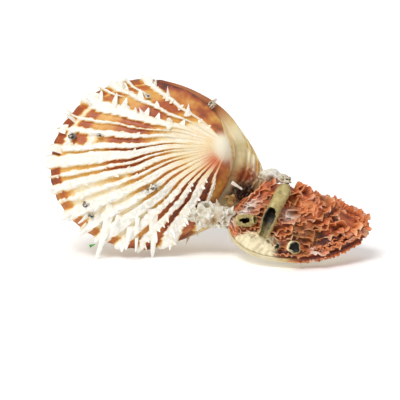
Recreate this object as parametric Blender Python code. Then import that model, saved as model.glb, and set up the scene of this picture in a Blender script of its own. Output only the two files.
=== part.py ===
"""A spiny oyster grown on a frilled jewel-box shell, with worm tubes, barnacles and crust.

Lengths in the constants are millimetres. The finished objects are in metres, +Z up, and the
whole piece rests on the plane Z = 0 with its box centred on the origin.
"""

import math
import random

import bmesh
import bpy
from mathutils import Matrix, Vector

GAP = 0.3  # between pieces that touch

# Spiny oyster: the two valves share one plane, where they close.
FAN_LENGTH = 79.4  # hinge to far margin
FAN_WIDTH = 71.4
FAN_BEAK_INSET = 2.6  # the beak's tip stands this far inside the hinge margin
FAN_BEAK_HEIGHT = 7.4
FAN_BULGE = 24.0
FAN_EDGE = 1.3
RIB_COUNT = 21
RIB_HEIGHT = 1.0
FAN_HINGE_AT = Vector((9.0, 20.0, 45.0))
FAN_LEAN = 15.0  # degrees that the fan leans back
FAN_TURN = 4.0
FAN_ROLL = 9.7  # degrees that its far margin hangs below its hinge

# The cemented valve narrows to the place where it grew on the host.
BACK_APEX = Vector((-11.5, 18.0, -9.0))
BACK_BULGE = 31.0
BACK_SWELL = 11.0
BACK_RIM_EXTRA = 0.9

# Host: a jewel-box shell, closed, lying on its shallow valve.
HOST_LENGTH = 58.5
HOST_WIDTH = 47.0
HOST_AT = Vector((39.2, 5.0, 14.4))
HOST_LEAN = 24.0  # degrees that its plane leans towards the front
HOST_ROLL = 1.0  # degrees that its pointed end stands up
HOST_DOME_APEX = Vector((-14.0, 6.0, 17.5))
HOST_DOME_BULGE = 16.0
HOST_KEEL_APEX = Vector((2.0, -9.0, -10.2))
HOST_KEEL_BULGE = 12.0

REST_SHIFT = Vector((0.9, -9.9, 0.0))  # centres the finished piece over the origin

for old in list(bpy.data.objects):
    bpy.data.objects.remove(old, do_unlink=True)


def new_collection(name):
    made = bpy.data.collections.new(name)
    bpy.context.scene.collection.children.link(made)
    return made


SHELL = new_collection("spiny oyster shell")
TOOLS = new_collection("cutters and growths")


def material(name, colour, roughness):
    made = bpy.data.materials.new(name)
    made.use_nodes = True
    shader = made.node_tree.nodes["Principled BSDF"]
    shader.inputs["Base Color"].default_value = (*colour, 1.0)
    shader.inputs["Roughness"].default_value = roughness
    shader.inputs["Metallic"].default_value = 0.0
    made.diffuse_color = (*colour, 1.0)
    return made


def frame_at(origin, lean, turn, roll, base):
    """A placing matrix in millimetres: the base axes rolled, leaned back, turned, then moved."""
    turned = (
        Matrix.Rotation(math.radians(turn), 4, "Z")
        @ Matrix.Rotation(math.radians(-lean), 4, "X")
        @ Matrix.Rotation(math.radians(-roll), 4, "Y")
    )
    return Matrix.Translation(origin + REST_SHIFT) @ turned @ base.to_4x4()


# Fan axes: first from the hinge to the far margin, second down along the hinge, third outward.
FAN_BASE = Matrix(((-1, 0, 0), (0, 0, -1), (0, -1, 0)))
FAN = frame_at(FAN_HINGE_AT, FAN_LEAN, FAN_TURN, FAN_ROLL, FAN_BASE)
# Host axes: first to its pointed end, second to its back, third up through the frilled valve.
HOST = frame_at(HOST_AT, -HOST_LEAN, 0.0, HOST_ROLL, Matrix.Identity(3))


def add_object(name, bm, look, where=None):
    mesh = bpy.data.meshes.new(name)
    bmesh.ops.recalc_face_normals(bm, faces=bm.faces)
    if bm.calc_volume(signed=True) < 0:
        bmesh.ops.reverse_faces(bm, faces=bm.faces)
    bm.to_mesh(mesh)
    bm.free()
    made = bpy.data.objects.new(name, mesh)
    (where or SHELL).objects.link(made)
    if look:
        mesh.materials.append(look)
    mesh.shade_smooth()
    mesh.set_sharp_from_angle(angle=math.radians(40))
    return made


def cutter(name, bm):
    made = add_object(name, bm, None, TOOLS)
    made.hide_render = True
    made.display_type = "WIRE"
    return made


def boolean(target, tool, operation):
    made = target.modifiers.new(operation.lower(), "BOOLEAN")
    made.operation = operation
    made.object = tool
    made.solver = "EXACT"


def settled(target):
    """Turn an object with modifiers into its finished mesh, largest body only."""
    bpy.context.view_layer.update()
    seen = target.evaluated_get(bpy.context.evaluated_depsgraph_get())
    bm = bmesh.new()
    bm.from_mesh(seen.to_mesh())
    seen.to_mesh_clear()
    left = set(bm.verts)
    bodies = []
    while left:
        front = [left.pop()]
        body = set(front)
        while front:
            at = front.pop()
            for edge in at.link_edges:
                other = edge.other_vert(at)
                if other not in body:
                    body.add(other)
                    front.append(other)
        left -= body
        bodies.append(body)
    bodies.sort(key=len)
    for body in bodies[:-1]:
        bmesh.ops.delete(bm, geom=list(body), context="VERTS")
    bmesh.ops.triangulate(bm, faces=bm.faces)
    bmesh.ops.dissolve_degenerate(bm, edges=bm.edges, dist=0.000002)
    target.modifiers.clear()
    bm.to_mesh(target.data)
    bm.free()


# ---- the two valves of the spiny oyster ----


def fan_rim(alpha, extra=0.0):
    """Margin of the fan, by angle round its middle; 180 degrees is at the hinge."""
    along = FAN_LENGTH / 2 + extra
    across = FAN_WIDTH / 2 + extra
    middle = FAN_LENGTH / 2 - FAN_BEAK_INSET
    drawn_in = 1 - 0.05 * math.exp(-((math.degrees(alpha) - 138.0) / 24.0) ** 2)
    flat = Vector((along * math.cos(alpha), across * math.sin(alpha), 0.0)) * drawn_in
    return flat + Vector((middle, 0.0, 0.0))


def back_rim(alpha, extra=0.0):
    """Margin of the cemented valve, which stands out behind the hinge."""
    off = (180.0 - abs(math.degrees(alpha))) / 34.0
    return fan_rim(alpha, BACK_RIM_EXTRA + 5.0 * math.exp(-off * off) + extra)


def domed(alpha, r, apex, rim, bulge, edge):
    """A point of a valve's outside, from its apex (r 0) to its margin (r 1)."""
    far = rim(alpha)
    reach = (far.xy - apex.xy).length / FAN_LENGTH
    flat = apex.xy.lerp(far.xy, r)
    rise = abs(apex.z) * (1 - r) + edge + bulge * reach * r**0.6 * (1 - r) ** 0.75
    return Vector((flat.x, flat.y, rise))


def rib(alpha, count):
    return 0.5 + 0.5 * math.cos(count * alpha)


def bowl(name, look, around, outer, inner, outside, inside, commissure, matrix):
    """A thick valve: a sphere drawn out so that its poles are the apexes outside and inside.

    The rings run down the outside to the margin, over the flat edge where the valves close,
    and up the inside.
    """
    rings = outer + 2 + inner
    bm = bmesh.new()
    bmesh.ops.create_uvsphere(bm, u_segments=around, v_segments=rings, radius=1.0)
    for vert in bm.verts:
        ring = round(math.acos(max(-1.0, min(1.0, vert.co.z))) / math.pi * rings)
        alpha = math.atan2(vert.co.y, vert.co.x)
        if ring <= outer:
            point = outside(alpha, ring / outer)
        elif ring == outer + 1:
            point = commissure(alpha, 0.0)
        elif ring == outer + 2:
            point = commissure(alpha, 2.4)
        else:
            point = inside(alpha, (rings - ring) / inner)
        vert.co = (matrix @ point) * 0.001
    return add_object(name, bm, look)


def fan_outside(alpha, r):
    apex = Vector((0.0, 0.0, FAN_BEAK_HEIGHT))
    point = domed(alpha, r, apex, fan_rim, FAN_BULGE, FAN_EDGE)
    point.z += RIB_HEIGHT * rib(alpha, RIB_COUNT) * min(1.0, r * 1.6)
    return point


def fan_inside(alpha, r):
    apex = Vector((7.0, 0.0, 5.0))
    point = domed(alpha, r, apex, lambda a: fan_rim(a, -2.4), FAN_BULGE * 0.72, 0.0)
    point.z += GAP / 2
    return point


def fan_edge(alpha, inset):
    point = fan_rim(alpha, -inset)
    point.z = GAP / 2
    return point


def back_outside(alpha, r):
    point = domed(
        alpha, r, BACK_APEX, back_rim, BACK_BULGE, FAN_EDGE
    )
    swell = BACK_SWELL * math.sqrt(r) * (1 - r)
    point.x += swell * math.cos(alpha)
    point.y += swell * math.sin(alpha)
    point.z += 0.9 * rib(alpha, 16) * max(0.0, min(1.0, r * 2.0 - 0.7))
    point.z *= -1
    return point


def back_inside(alpha, r):
    apex = Vector((8.0, 3.0, 5.0))
    point = domed(alpha, r, apex, lambda a: fan_rim(a, -2.4), BACK_BULGE * 1.12, 0.0)
    point.z = -point.z - GAP / 2
    return point


def back_edge(alpha, inset):
    point = back_rim(alpha, -inset)
    point.z = -GAP / 2
    return point


def spine(bm, matrix, outside, alpha, r, tip, base, end, sink):
    """A blunt spine rooted below the valve's outside and running to its tip."""
    root = outside(math.radians(alpha), r)
    tip = Vector(tip)
    along = (tip - root).normalized()
    start = root - along * sink
    length = (tip - start).length
    turned = along.to_track_quat("Z", "Y").to_matrix().to_4x4()
    placed = (
        Matrix.Scale(0.001, 4)
        @ matrix
        @ Matrix.Translation(start.lerp(tip, 0.5))
        @ turned
    )
    bmesh.ops.create_cone(
        bm,
        cap_ends=True,
        segments=6,
        radius1=base,
        radius2=end,
        depth=length,
        matrix=placed,
    )


# Angle round the fan and share of the way out where a spine is rooted, then how far its tip
# stands out past its root (towards the margin, then away from the face), and its half width.
FAN_SPINES = (
    (-101, 0.70, 3.5, 5.0, 1.2),
    (-84, 0.95, 3.0, 4.0, 1.2),
    (-58, 0.93, 4.5, 3.0, 1.3),
    (-44, 0.96, 4.5, 2.5, 1.2),
    (-21, 0.96, 5.0, 1.5, 1.2),
    (26, 0.97, 5.5, 2.5, 1.4),
    (40, 0.96, 6.0, 3.0, 1.4),
    (61, 0.85, 9.5, 2.5, 1.5),
    (90, 0.83, 5.0, 2.0, 1.2),
    (116, 0.90, 3.5, 3.0, 1.1),
)

BACK_SPINES = (
    (-95, 0.94, 6.0, 1.0, 1.1),
    (-70, 0.95, 6.5, 1.0, 1.1),
    (-48, 0.95, 8.0, 1.0, 1.2),
    (-18, 0.95, 7.0, 1.0, 1.2),
    (6, 0.95, 5.5, 2.0, 1.2),
    (-75, 0.62, 5.0, 5.0, 1.4),
    (-40, 0.60, 5.0, 6.0, 1.4),
    (-8, 0.66, 5.5, 5.0, 1.4),
)


def tip_of(outside, alpha, r, out, away, side):
    root = outside(math.radians(alpha), r)
    middle = Vector((FAN_LENGTH / 2 - FAN_BEAK_INSET, 0.0))
    outward = (root.xy - middle).normalized()
    return Vector((root.x + outward.x * out, root.y + outward.y * out, root.z + side * away))


def local(matrix, point):
    return matrix.inverted() @ (Vector(point) + REST_SHIFT)


# ---- the host shell ----


def host_rim(theta, extra=0.0):
    """Egg-shaped margin, pointed towards the first axis."""
    along = (HOST_LENGTH / 2 + extra) * math.cos(theta)
    across = (HOST_WIDTH / 2 + extra) * math.sin(theta)
    narrowing = 0.10 if theta < 0 else 0.22
    return Vector((along, across * (1 - narrowing * math.cos(theta)), 0.0))


def host_domed(theta, r, apex, bulge, edge, extra):
    far = host_rim(theta, extra)
    reach = (far.xy - apex.xy).length / HOST_LENGTH
    flat = apex.xy.lerp(far.xy, r)
    rise = abs(apex.z) * (1 - r) + edge + bulge * reach * r**0.8 * (1 - r) ** 0.7
    return Vector((flat.x, flat.y, rise))


def host_outside(theta, r):
    point = host_domed(theta, r, HOST_DOME_APEX, HOST_DOME_BULGE, 1.2, 0.0)
    step = round(r * 12) % 2
    frill = 1.3 * step * (1 if 0.1 < r < 0.99 else 0)
    return point + Vector((0.0, 0.0, frill))


def host_inside(theta, r):
    point = host_domed(
        theta, r, Vector((-6.0, 3.0, 10.0)), HOST_DOME_BULGE * 0.62, 0.0, -2.4
    )
    point.z += GAP / 2
    return point


def host_edge(theta, inset):
    point = host_rim(theta, -inset)
    point.z = GAP / 2
    return point


def keel_outside(theta, r):
    point = host_domed(theta, r, HOST_KEEL_APEX, HOST_KEEL_BULGE, 1.2, 0.6)
    point.z *= -1
    return point


def keel_inside(theta, r):
    point = host_domed(
        theta, r, Vector((0.0, -2.0, 2.6)), HOST_KEEL_BULGE * 0.7, 0.0, -2.4
    )
    point.z = -point.z - GAP / 2
    return point


def keel_edge(theta, inset):
    point = host_rim(theta, 0.6 - inset)
    point.z = -GAP / 2
    return point


def grown_copy(source, name, by=GAP):
    """A cutter a little larger than a finished piece, so that a cut leaves a gap."""
    bm = bmesh.new()
    bm.from_mesh(source.data)
    bm.normal_update()
    moves = [(vert, vert.normal * by * 0.001) for vert in bm.verts]
    for vert, move in moves:
        vert.co += move
    return cutter(name, bm)


# ---- making the host, which everything else grew on ----

frill_red = material("frilled valve shell", (0.55, 0.16, 0.08), 0.7)
keel_cream = material("smooth valve shell", (0.80, 0.66, 0.42), 0.5)
host_top = bowl(
    "host_upper_valve", frill_red, 48, 12, 4, host_outside, host_inside, host_edge, HOST
)
host_bottom = bowl(
    "host_lower_valve", keel_cream, 48, 8, 4, keel_outside, keel_inside, keel_edge, HOST
)
host_cutter = grown_copy(host_top, "host clearance")
keel_cutter = grown_copy(host_bottom, "keel clearance")

# ---- making the spiny oyster ----

fan_white = material("upper valve shell", (0.86, 0.66, 0.42), 0.45)
upper = bowl(
    "upper_valve", fan_white, 84, 10, 4, fan_outside, fan_inside, fan_edge, FAN
)
grown = bmesh.new()
for alpha, r, out, away, width in FAN_SPINES:
    spine(
        grown, FAN, fan_outside, alpha, r,
        tip_of(fan_outside, alpha, r, out, away, 1), width, 0.45, 1.4,
    )
# Two long flat spines under the fan reach the table.
FAN_FEET = ((38, 0.85, (-47.0, 2.5, 0.25)), (66, 0.74, (-23.0, 5.5, 0.25)))
for alpha, r, foot in FAN_FEET:
    spine(grown, FAN, fan_outside, alpha, r, local(FAN, foot), 2.2, 0.9, 1.4)
boolean(upper, cutter("upper spines", grown), "UNION")
settled(upper)

back_tan = material("lower valve shell", (0.72, 0.52, 0.24), 0.5)
lower = bowl(
    "lower_valve", back_tan, 64, 10, 4, back_outside, back_inside, back_edge, FAN
)
grown = bmesh.new()
for alpha, r, out, away, width in BACK_SPINES:
    spine(
        grown, FAN, back_outside, alpha, r,
        tip_of(back_outside, alpha, r, out, away, -1), width, 0.45, 1.4,
    )
# Two stout spines at the back are feet as well.
BACK_FEET = ((20, 0.66, (-40.0, 37.0, 0.42)), (26, 0.36, (-12.0, 38.0, 0.42)))
for alpha, r, foot in BACK_FEET:
    spine(grown, FAN, back_outside, alpha, r, local(FAN, foot), 2.4, 0.9, 1.4)
boolean(lower, cutter("lower spines", grown), "UNION")
boolean(lower, host_cutter, "DIFFERENCE")
settled(lower)


# ---- growths on the shells ----


def outward(outside, matrix, angle, r):
    """A point of a surface in millimetres, and the direction that points away from it."""
    here = matrix @ outside(angle, r)
    round_it = matrix @ outside(angle + 0.08, r) - matrix @ outside(angle - 0.08, r)
    out_it = matrix @ outside(angle, min(1.0, r + 0.04)) - matrix @ outside(angle, r - 0.04)
    away = out_it.cross(round_it).normalized()
    middle = matrix @ Vector((25.0 if matrix is FAN else 0.0, 0.0, 0.0))
    if away.dot(here - middle) < 0:
        away = -away
    return here, away


def clearance(outside, matrix, here, away, angle, r, wide, deep):
    """How far the surface round a point rises past it, with the gap that pieces keep."""
    rise = 0.0
    for step_a in (-wide, -wide / 2, 0.0, wide / 2, wide):
        for step_r in (-deep, -deep / 2, 0.0, deep / 2, deep):
            near = matrix @ outside(angle + step_a, max(0.0, min(1.0, r + step_r)))
            rise = max(rise, (near - here).dot(away))
    return rise + GAP + 0.1


def smooth_host(theta, r):
    return host_domed(theta, r, HOST_DOME_APEX, HOST_DOME_BULGE, 1.2, 0.0)


def barnacle(name, alpha, r, size):
    """A low cone with a sunk mouth, its base held clear of the ribs that it sits on."""
    angle = math.radians(alpha)
    here, away = outward(fan_outside, FAN, angle, r)
    clear = clearance(fan_outside, FAN, here, away, angle, r, 0.06, 0.04)
    height = size * 0.55
    centre = here + away * (clear + height / 2)
    turned = away.to_track_quat("Z", "Y").to_matrix().to_4x4()
    bm = bmesh.new()
    bmesh.ops.create_cone(
        bm, cap_ends=True, segments=10, radius1=size, radius2=size * 0.66, depth=height
    )
    top = [face for face in bm.faces if face.normal.z > 0.9]
    bmesh.ops.inset_region(bm, faces=top, thickness=size * 0.24)
    bmesh.ops.translate(bm, verts=list(top[0].verts), vec=(0, 0, -height * 0.6))
    bm.transform(Matrix.Scale(0.001, 4) @ Matrix.Translation(centre) @ turned)
    add_object(name, bm, barnacle_grey)


def tube_mesh(name, points, radius):
    """A capped round bar along a path, as a closed mesh."""
    data = bpy.data.curves.new(name, "CURVE")
    data.dimensions = "3D"
    data.bevel_depth = radius * 0.001
    data.bevel_resolution = 2
    data.use_fill_caps = True
    line = data.splines.new("POLY")
    line.points.add(len(points) - 1)
    for at, point in zip(line.points, points):
        at.co = (*(point * 0.001), 1.0)
    guide = bpy.data.objects.new(name, data)
    TOOLS.objects.link(guide)
    bpy.context.view_layer.update()
    seen = guide.evaluated_get(bpy.context.evaluated_depsgraph_get())
    bm = bmesh.new()
    bm.from_mesh(bpy.data.meshes.new_from_object(seen))
    bpy.data.objects.remove(guide, do_unlink=True)
    bmesh.ops.remove_doubles(bm, verts=bm.verts, dist=0.000001)
    return bm


def eased(points, count):
    """Points at even steps along a smooth curve through a few given ones."""
    ends = [points[0] * 2 - points[1], *points, points[-1] * 2 - points[-2]]
    made = []
    for index in range(count):
        at = index / (count - 1) * (len(points) - 1)
        k = min(int(at), len(points) - 2)
        t = at - k
        a, b, c, d = ends[k : k + 4]
        made.append(
            0.5
            * (
                2 * b
                + (c - a) * t
                + (2 * a - 5 * b + 4 * c - d) * t * t
                + (3 * b - a - 3 * c + d) * t**3
            )
        )
    return made


def worm_tube(name, path, radius, wall, closed_share, broken, look):
    """A worm tube: bored from its mouth, its front broken away over the broken stretch."""
    piece = add_object(name, tube_mesh(name, path, radius), look)
    start = round(closed_share * (len(path) - 1))
    bore = path[start:]
    past = path[-1] + (path[-1] - path[-2]).normalized() * 3.0
    hollow = cutter(name + " bore", tube_mesh(name, [*bore, past], radius - wall))
    boolean(piece, hollow, "DIFFERENCE")
    if broken:
        first, last, away = broken
        steps = path[round(first * (len(path) - 1)) : round(last * (len(path) - 1)) + 1]
        if last == 1.0:
            steps = [*steps, past]
        raised = [point + away * radius * 0.75 for point in steps]
        gone = cutter(name + " break", tube_mesh(name, raised, radius - wall * 0.9))
        boolean(piece, gone, "DIFFERENCE")
    settled(piece)
    return piece


def lump(name, centre, size, tilt, seed, clear_of, look):
    """An uneven lump of growth, cut back from everything that it fills the space between."""
    dice = random.Random(seed)
    bm = bmesh.new()
    bmesh.ops.create_icosphere(bm, subdivisions=2, radius=1.0)
    for vert in bm.verts:
        vert.co *= dice.uniform(0.84, 1.12)
    placed = (
        Matrix.Scale(0.001, 4)
        @ Matrix.Translation(Vector(centre) + REST_SHIFT)
        @ Matrix.Rotation(math.radians(tilt), 4, "Y")
        @ Matrix.Diagonal((*size, 1.0))
    )
    bm.transform(placed)
    piece = add_object(name, bm, look)
    for tool in clear_of:
        boolean(piece, tool, "DIFFERENCE")
    settled(piece)
    return piece


barnacle_grey = material("barnacle plates", (0.55, 0.53, 0.48), 0.7)
for name, alpha, r, size in (
    ("barnacle_a", -31, 0.91, 1.5),
    ("barnacle_b", -33, 0.76, 1.3),
    ("barnacle_c", 24, 0.88, 1.4),
    ("barnacle_d", 34, 0.90, 1.2),
    ("barnacle_e", -87, 0.77, 1.5),
):
    barnacle(name, alpha, r, size)

tube_tan = material("worm tube wall", (0.48, 0.38, 0.18), 0.6)


def over_host(theta, r, radius):
    """The middle of a tube that lies on the host's frills, and the way out from the host."""
    angle = math.radians(theta)
    here, away = outward(smooth_host, HOST, angle, r)
    return here + away * (radius + clearance(host_outside, HOST, here, away, angle, r, 0.1, 0.05)), away


TALL_RADIUS = 3.1
TALL_STOPS = ((-29, 0.24), (-75, 0.32), (-103, 0.52), (-119, 0.84))
tall_path = eased([over_host(theta, r, TALL_RADIUS)[0] for theta, r in TALL_STOPS], 13)
worm_tube(
    "worm_tube_tall", tall_path, TALL_RADIUS, 0.8, 0.25, (0.62, 1.0, Vector((-0.35, -0.9, 0.1))), tube_tan
)
SIDE_RADIUS = 2.5
SIDE_STOPS = ((-159, 0.77), (-143, 0.70), (-129, 0.64))
side_path = eased([over_host(theta, r, SIDE_RADIUS)[0] for theta, r in SIDE_STOPS], 9)
worm_tube(
    "worm_tube_side", side_path, SIDE_RADIUS, 0.7, 0.25, (0.25, 0.8, Vector((0.0, -1.0, 0.1))), tube_tan
)
for name, theta, r, radius, length, look in (
    ("worm_tube_round", -93, 0.93, 2.9, 4.6, "worm tube round"),
    ("worm_tube_small", -107, 0.92, 1.3, 3.6, "worm tube small"),
):
    foot, away = over_host(theta, r, radius * 0.3)
    facing = (away * 0.8 + Vector((0.0, -0.4, 0.0))).normalized()
    stub = [foot, foot + facing * length * 0.5, foot + facing * length]
    worm_tube(name, stub, radius, radius * 0.28, 0.5, None, material(look, (0.70, 0.62, 0.42), 0.6))

crust_white = material("white crust", (0.72, 0.70, 0.62), 0.8)
fan_cutter = grown_copy(upper, "fan clearance")
back_cutter = grown_copy(lower, "back clearance")
around = (fan_cutter, back_cutter, host_cutter, keel_cutter)
lump("crust", (2.0, 6.5, 18.5), (13.0, 6.0, 5.5), 12.0, 4, around, crust_white)
lump("crust_back", (28.5, 15.0, 33.0), (6.0, 4.5, 4.0), 20.0, 9, around, crust_white)


def splinter(name, centre, size, turn, look):
    bm = bmesh.new()
    bmesh.ops.create_cube(bm, size=1.0)
    for vert in bm.verts:
        if vert.co.x > 0:
            vert.co.y *= 0.45
            vert.co.z *= 0.5
    bmesh.ops.bevel(bm, geom=list(bm.edges), offset=0.06, segments=1, affect="EDGES")
    bm.transform(
        Matrix.Scale(0.001, 4)
        @ Matrix.Translation(Vector(centre) + REST_SHIFT)
        @ Matrix.Rotation(math.radians(turn), 4, "Y")
        @ Matrix.Diagonal((*size, 1.0))
    )
    return add_object(name, bm, look)


splinter(
    "shell_chip", (13.4, 12.5, 30.0), (5.6, 1.0, 1.5), 35.0, material("chip", (0.85, 0.80, 0.70), 0.5)
)
splinter(
    "shell_crumb", (10.6, 11.8, 23.6), (4.4, 3.4, 4.2), 70.0, material("crumb", (0.62, 0.47, 0.22), 0.7)
)
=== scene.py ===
"""A spiny oyster grown on a frilled jewel-box shell: its fine surfaces and its finishes.

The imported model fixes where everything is. The tables and shape functions below are in
millimetres, in the same axes as the model's own, and every finished mesh is in metres.
"""

import functools
import math
import random

import bmesh
import bpy
import numpy as np
from mathutils import Matrix, Vector, noise


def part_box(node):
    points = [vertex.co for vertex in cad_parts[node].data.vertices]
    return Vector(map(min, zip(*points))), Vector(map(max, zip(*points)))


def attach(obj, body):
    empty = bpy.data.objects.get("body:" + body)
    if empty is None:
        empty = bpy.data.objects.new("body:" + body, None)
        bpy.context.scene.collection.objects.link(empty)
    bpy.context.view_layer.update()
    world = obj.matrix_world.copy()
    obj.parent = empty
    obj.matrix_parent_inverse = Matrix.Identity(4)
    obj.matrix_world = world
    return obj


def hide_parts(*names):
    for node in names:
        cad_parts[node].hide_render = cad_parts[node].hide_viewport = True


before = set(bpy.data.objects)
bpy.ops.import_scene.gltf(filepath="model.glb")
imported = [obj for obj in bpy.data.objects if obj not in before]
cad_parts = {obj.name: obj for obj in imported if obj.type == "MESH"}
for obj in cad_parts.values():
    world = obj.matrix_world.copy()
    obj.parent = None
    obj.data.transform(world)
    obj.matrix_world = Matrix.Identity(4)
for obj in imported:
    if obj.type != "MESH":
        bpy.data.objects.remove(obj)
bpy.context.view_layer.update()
MM = 0.001
REST_SHIFT = Vector((0.9, -9.9, 0.0))  # from the axes the shells were laid out in
dice = random.Random(11)

# ---- camera, light and table ----

LENS = 250.0
VIEW_WIDTH = 172.0  # mm across the frame at the shell
LOOK_UP = math.radians(12.0)
look_at = Vector((-1.68, -1.9, 24.74)) * MM
camera_data = bpy.data.cameras.new("camera")
camera_data.lens = LENS
camera_data.sensor_width = 36.0
camera_data.clip_end = 50.0
camera = bpy.data.objects.new("camera", camera_data)
bpy.context.scene.collection.objects.link(camera)
back = Vector((0.0, -math.cos(LOOK_UP), math.sin(LOOK_UP)))
camera.location = look_at + back * (VIEW_WIDTH * MM * LENS / 36.0)
camera.rotation_euler = (math.radians(90.0) - LOOK_UP, 0.0, 0.0)
bpy.context.scene.camera = camera
bpy.context.scene.view_settings.view_transform = "Standard"


def linear(code):
    """A hex colour as the linear values that a socket takes."""
    parts = [int(code[at : at + 2], 16) / 255 for at in (1, 3, 5)]
    return (*(c / 12.92 if c <= 0.04045 else ((c + 0.055) / 1.055) ** 2.4 for c in parts), 1.0)


def add(tree, kind, feeds=None, **settings):
    """Add one shader node; feeds are its sockets' values or the outputs that drive them."""
    made = tree.nodes.new("ShaderNode" + kind)
    for key, value in settings.items():
        if key == "stops":
            ramp = made.color_ramp
            ramp.elements[0].position, ramp.elements[0].color = value[0][0], linear(value[0][1])
            ramp.elements[1].position, ramp.elements[1].color = value[-1][0], linear(value[-1][1])
            for at, code in value[1:-1]:
                ramp.elements.new(at).color = linear(code)
        else:
            setattr(made, key, value)
    for key, value in (feeds or {}).items():
        if isinstance(value, bpy.types.NodeSocket):
            tree.links.new(value, made.inputs[key])
        else:
            made.inputs[key].default_value = value
    return made.outputs


world = bpy.data.worlds.new("white room")
world.use_nodes = True
# White walls all round, and a darker ceiling: the brightness falls from the walls' top upwards.
sky = world.node_tree
height = add(sky, "SeparateXYZ", {"Vector": add(sky, "TexCoord")["Generated"]})["Z"]
room_shades = ((0.0, "#fefefe"), (0.1, "#fefefe"), (0.3, "#9c9c9c"), (1.0, "#9c9c9c"))
room = add(sky, "ValToRGB", {"Fac": height}, stops=room_shades)
sky.links.new(room["Color"], sky.nodes["Background"].inputs["Color"])
bpy.context.scene.world = world


def soft_light(name, place, size, power):
    data = bpy.data.lights.new(name, "AREA")
    data.shape = "DISK"
    data.size = size
    data.energy = power
    made = bpy.data.objects.new(name, data)
    bpy.context.scene.collection.objects.link(made)
    made.location = place
    made.rotation_euler = (Vector(place) - look_at).to_track_quat("Z", "Y").to_euler()


soft_light("top softbox", (0.25, 0.25, 0.9), 0.7, 1.6)
# The key comes from a big window up to the left: even over the whole table, soft at its edges.
window = bpy.data.objects.new("window light", bpy.data.lights.new("window light", "SUN"))
window.data.energy = 2.0
window.data.angle = math.radians(28.0)
window.rotation_euler = Vector((-0.32, -0.6, 0.85)).to_track_quat("Z", "Y").to_euler()
bpy.context.scene.collection.objects.link(window)


def shell_finish(
    name, stops, patch, wander, grain, depth, rough,
    layers=(), streak=None, mottle=0.08, ior=1.53, coat=0.0,
):
    """A grown finish: the tone of the surface sets its colour, broken up by patches and grain.

    patch and grain are widths in mm, depth is the grain's relief in mm, wander is how far the
    patches shift the tone, rough is the lowest and the highest roughness, layers are traits
    that lay another colour over it, and streak is (spacing in mm, strength) of growth lines.
    """
    made = bpy.data.materials.new(name)
    made.use_nodes = True
    tree = made.node_tree
    shader = tree.nodes["Principled BSDF"]
    place = add(tree, "TexCoord")["Object"]
    patches = add(
        tree, "TexNoise", {"Vector": place, "Scale": 1000 / patch, "Detail": 5.0, "Roughness": 0.6}
    )["Fac"]
    grains = add(
        tree, "TexNoise", {"Vector": place, "Scale": 1000 / grain, "Detail": 3.0, "Roughness": 0.7}
    )["Fac"]
    tone = add(tree, "Attribute", attribute_name="tone")["Fac"]
    shift = add(tree, "Math", {0: patches, 1: -0.5}, operation="ADD")[0]
    tone = add(tree, "Math", {0: shift, 1: wander, 2: tone}, operation="MULTIPLY_ADD")[0]
    relief = grains
    if streak:
        spacing, strength = streak
        growth = add(tree, "Attribute", attribute_name="growth")["Fac"]
        bent = add(tree, "Math", {0: patches, 1: 5.0}, operation="MULTIPLY")[0]
        turns = add(
            tree, "Math", {0: growth, 1: 2 * math.pi / spacing, 2: bent}, operation="MULTIPLY_ADD"
        )[0]
        lines = add(tree, "Math", {0: turns}, operation="SINE")[0]
        tone = add(tree, "Math", {0: lines, 1: strength, 2: tone}, operation="MULTIPLY_ADD")[0]
        relief = add(tree, "Math", {0: lines, 1: 0.12, 2: grains}, operation="MULTIPLY_ADD")[0]
    colour = add(tree, "ValToRGB", {"Fac": tone}, stops=stops)["Color"]
    for trait, code in layers:
        share = add(tree, "Attribute", attribute_name=trait)["Fac"]
        colour = add(
            tree, "Mix", {0: share, 6: colour, 7: linear(code)}, data_type="RGBA"
        )[2]
    light = add(
        tree, "MapRange", {"Value": grains, "To Min": 1 - mottle * 1.5, "To Max": 1 + mottle}
    )["Result"]
    colour = add(tree, "VectorMath", {0: colour, "Scale": light}, operation="SCALE")[0]
    tree.links.new(colour, shader.inputs["Base Color"])
    roughness = add(
        tree, "MapRange", {"Value": patches, "To Min": rough[0], "To Max": rough[1]}
    )["Result"]
    tree.links.new(roughness, shader.inputs["Roughness"])
    bump = add(tree, "Bump", {"Height": relief, "Distance": depth * MM, "Strength": 0.7})
    tree.links.new(bump["Normal"], shader.inputs["Normal"])
    shader.inputs["IOR"].default_value = ior
    shader.inputs["Coat Weight"].default_value = coat
    return made


# Calcite of the spiny oyster's upper valve: chalk-white ribs and polished rust grooves.
RIBBED_CALCITE = shell_finish(
    "ribbed calcite", (
        (0.0, "#f8f6f0"), (0.14, "#f5eddb"), (0.3, "#efd9a8"), (0.45, "#dfaa52"),
        (0.6, "#cb7f31"), (0.74, "#ae521c"), (0.88, "#7f3010"), (1.0, "#54190a"),
    ), 3.0, 0.2, 0.5, 0.12, (0.32, 0.6),
    (("peach", "#f3cf94"), ("knob", "#f3ead0"), ("blush", "#d66f40"), ("grime", "#5b4a2a")),
    (1.3, 0.016), 0.05,
)
# Spines of the same calcite, thin enough to look a little translucent and waxy.
SPINE_CALCITE = shell_finish(
    "spine calcite", ((0.0, "#ecdcbc"), (0.35, "#f6f1e4"), (1.0, "#faf8f2")),
    2.5, 0.3, 0.4, 0.08, (0.3, 0.5), mottle=0.03,
)
# The cemented valve is duller: cream and ochre growth streaks, rust between its ribs. Its grime layer is
# painted shade beside the beak, in a recess and along the ledge beside the other valve's margin, and its
# shade layer a darker painted shade in that recess below the rust stain.
STREAKED_CALCITE = shell_finish(
    "streaked calcite", (
        (0.0, "#f4ecd2"), (0.25, "#efdfb0"), (0.45, "#e2c27a"), (0.6, "#cf9d50"),
        (0.78, "#a35f29"), (1.0, "#612811"),
    ), 4.5, 0.4, 0.6, 0.16, (0.4, 0.7),
    (("grime", "#93834c"), ("rust", "#a8531f"), ("shade", "#2b170c")), (1.6, 0.03), 0.1,
)
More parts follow.
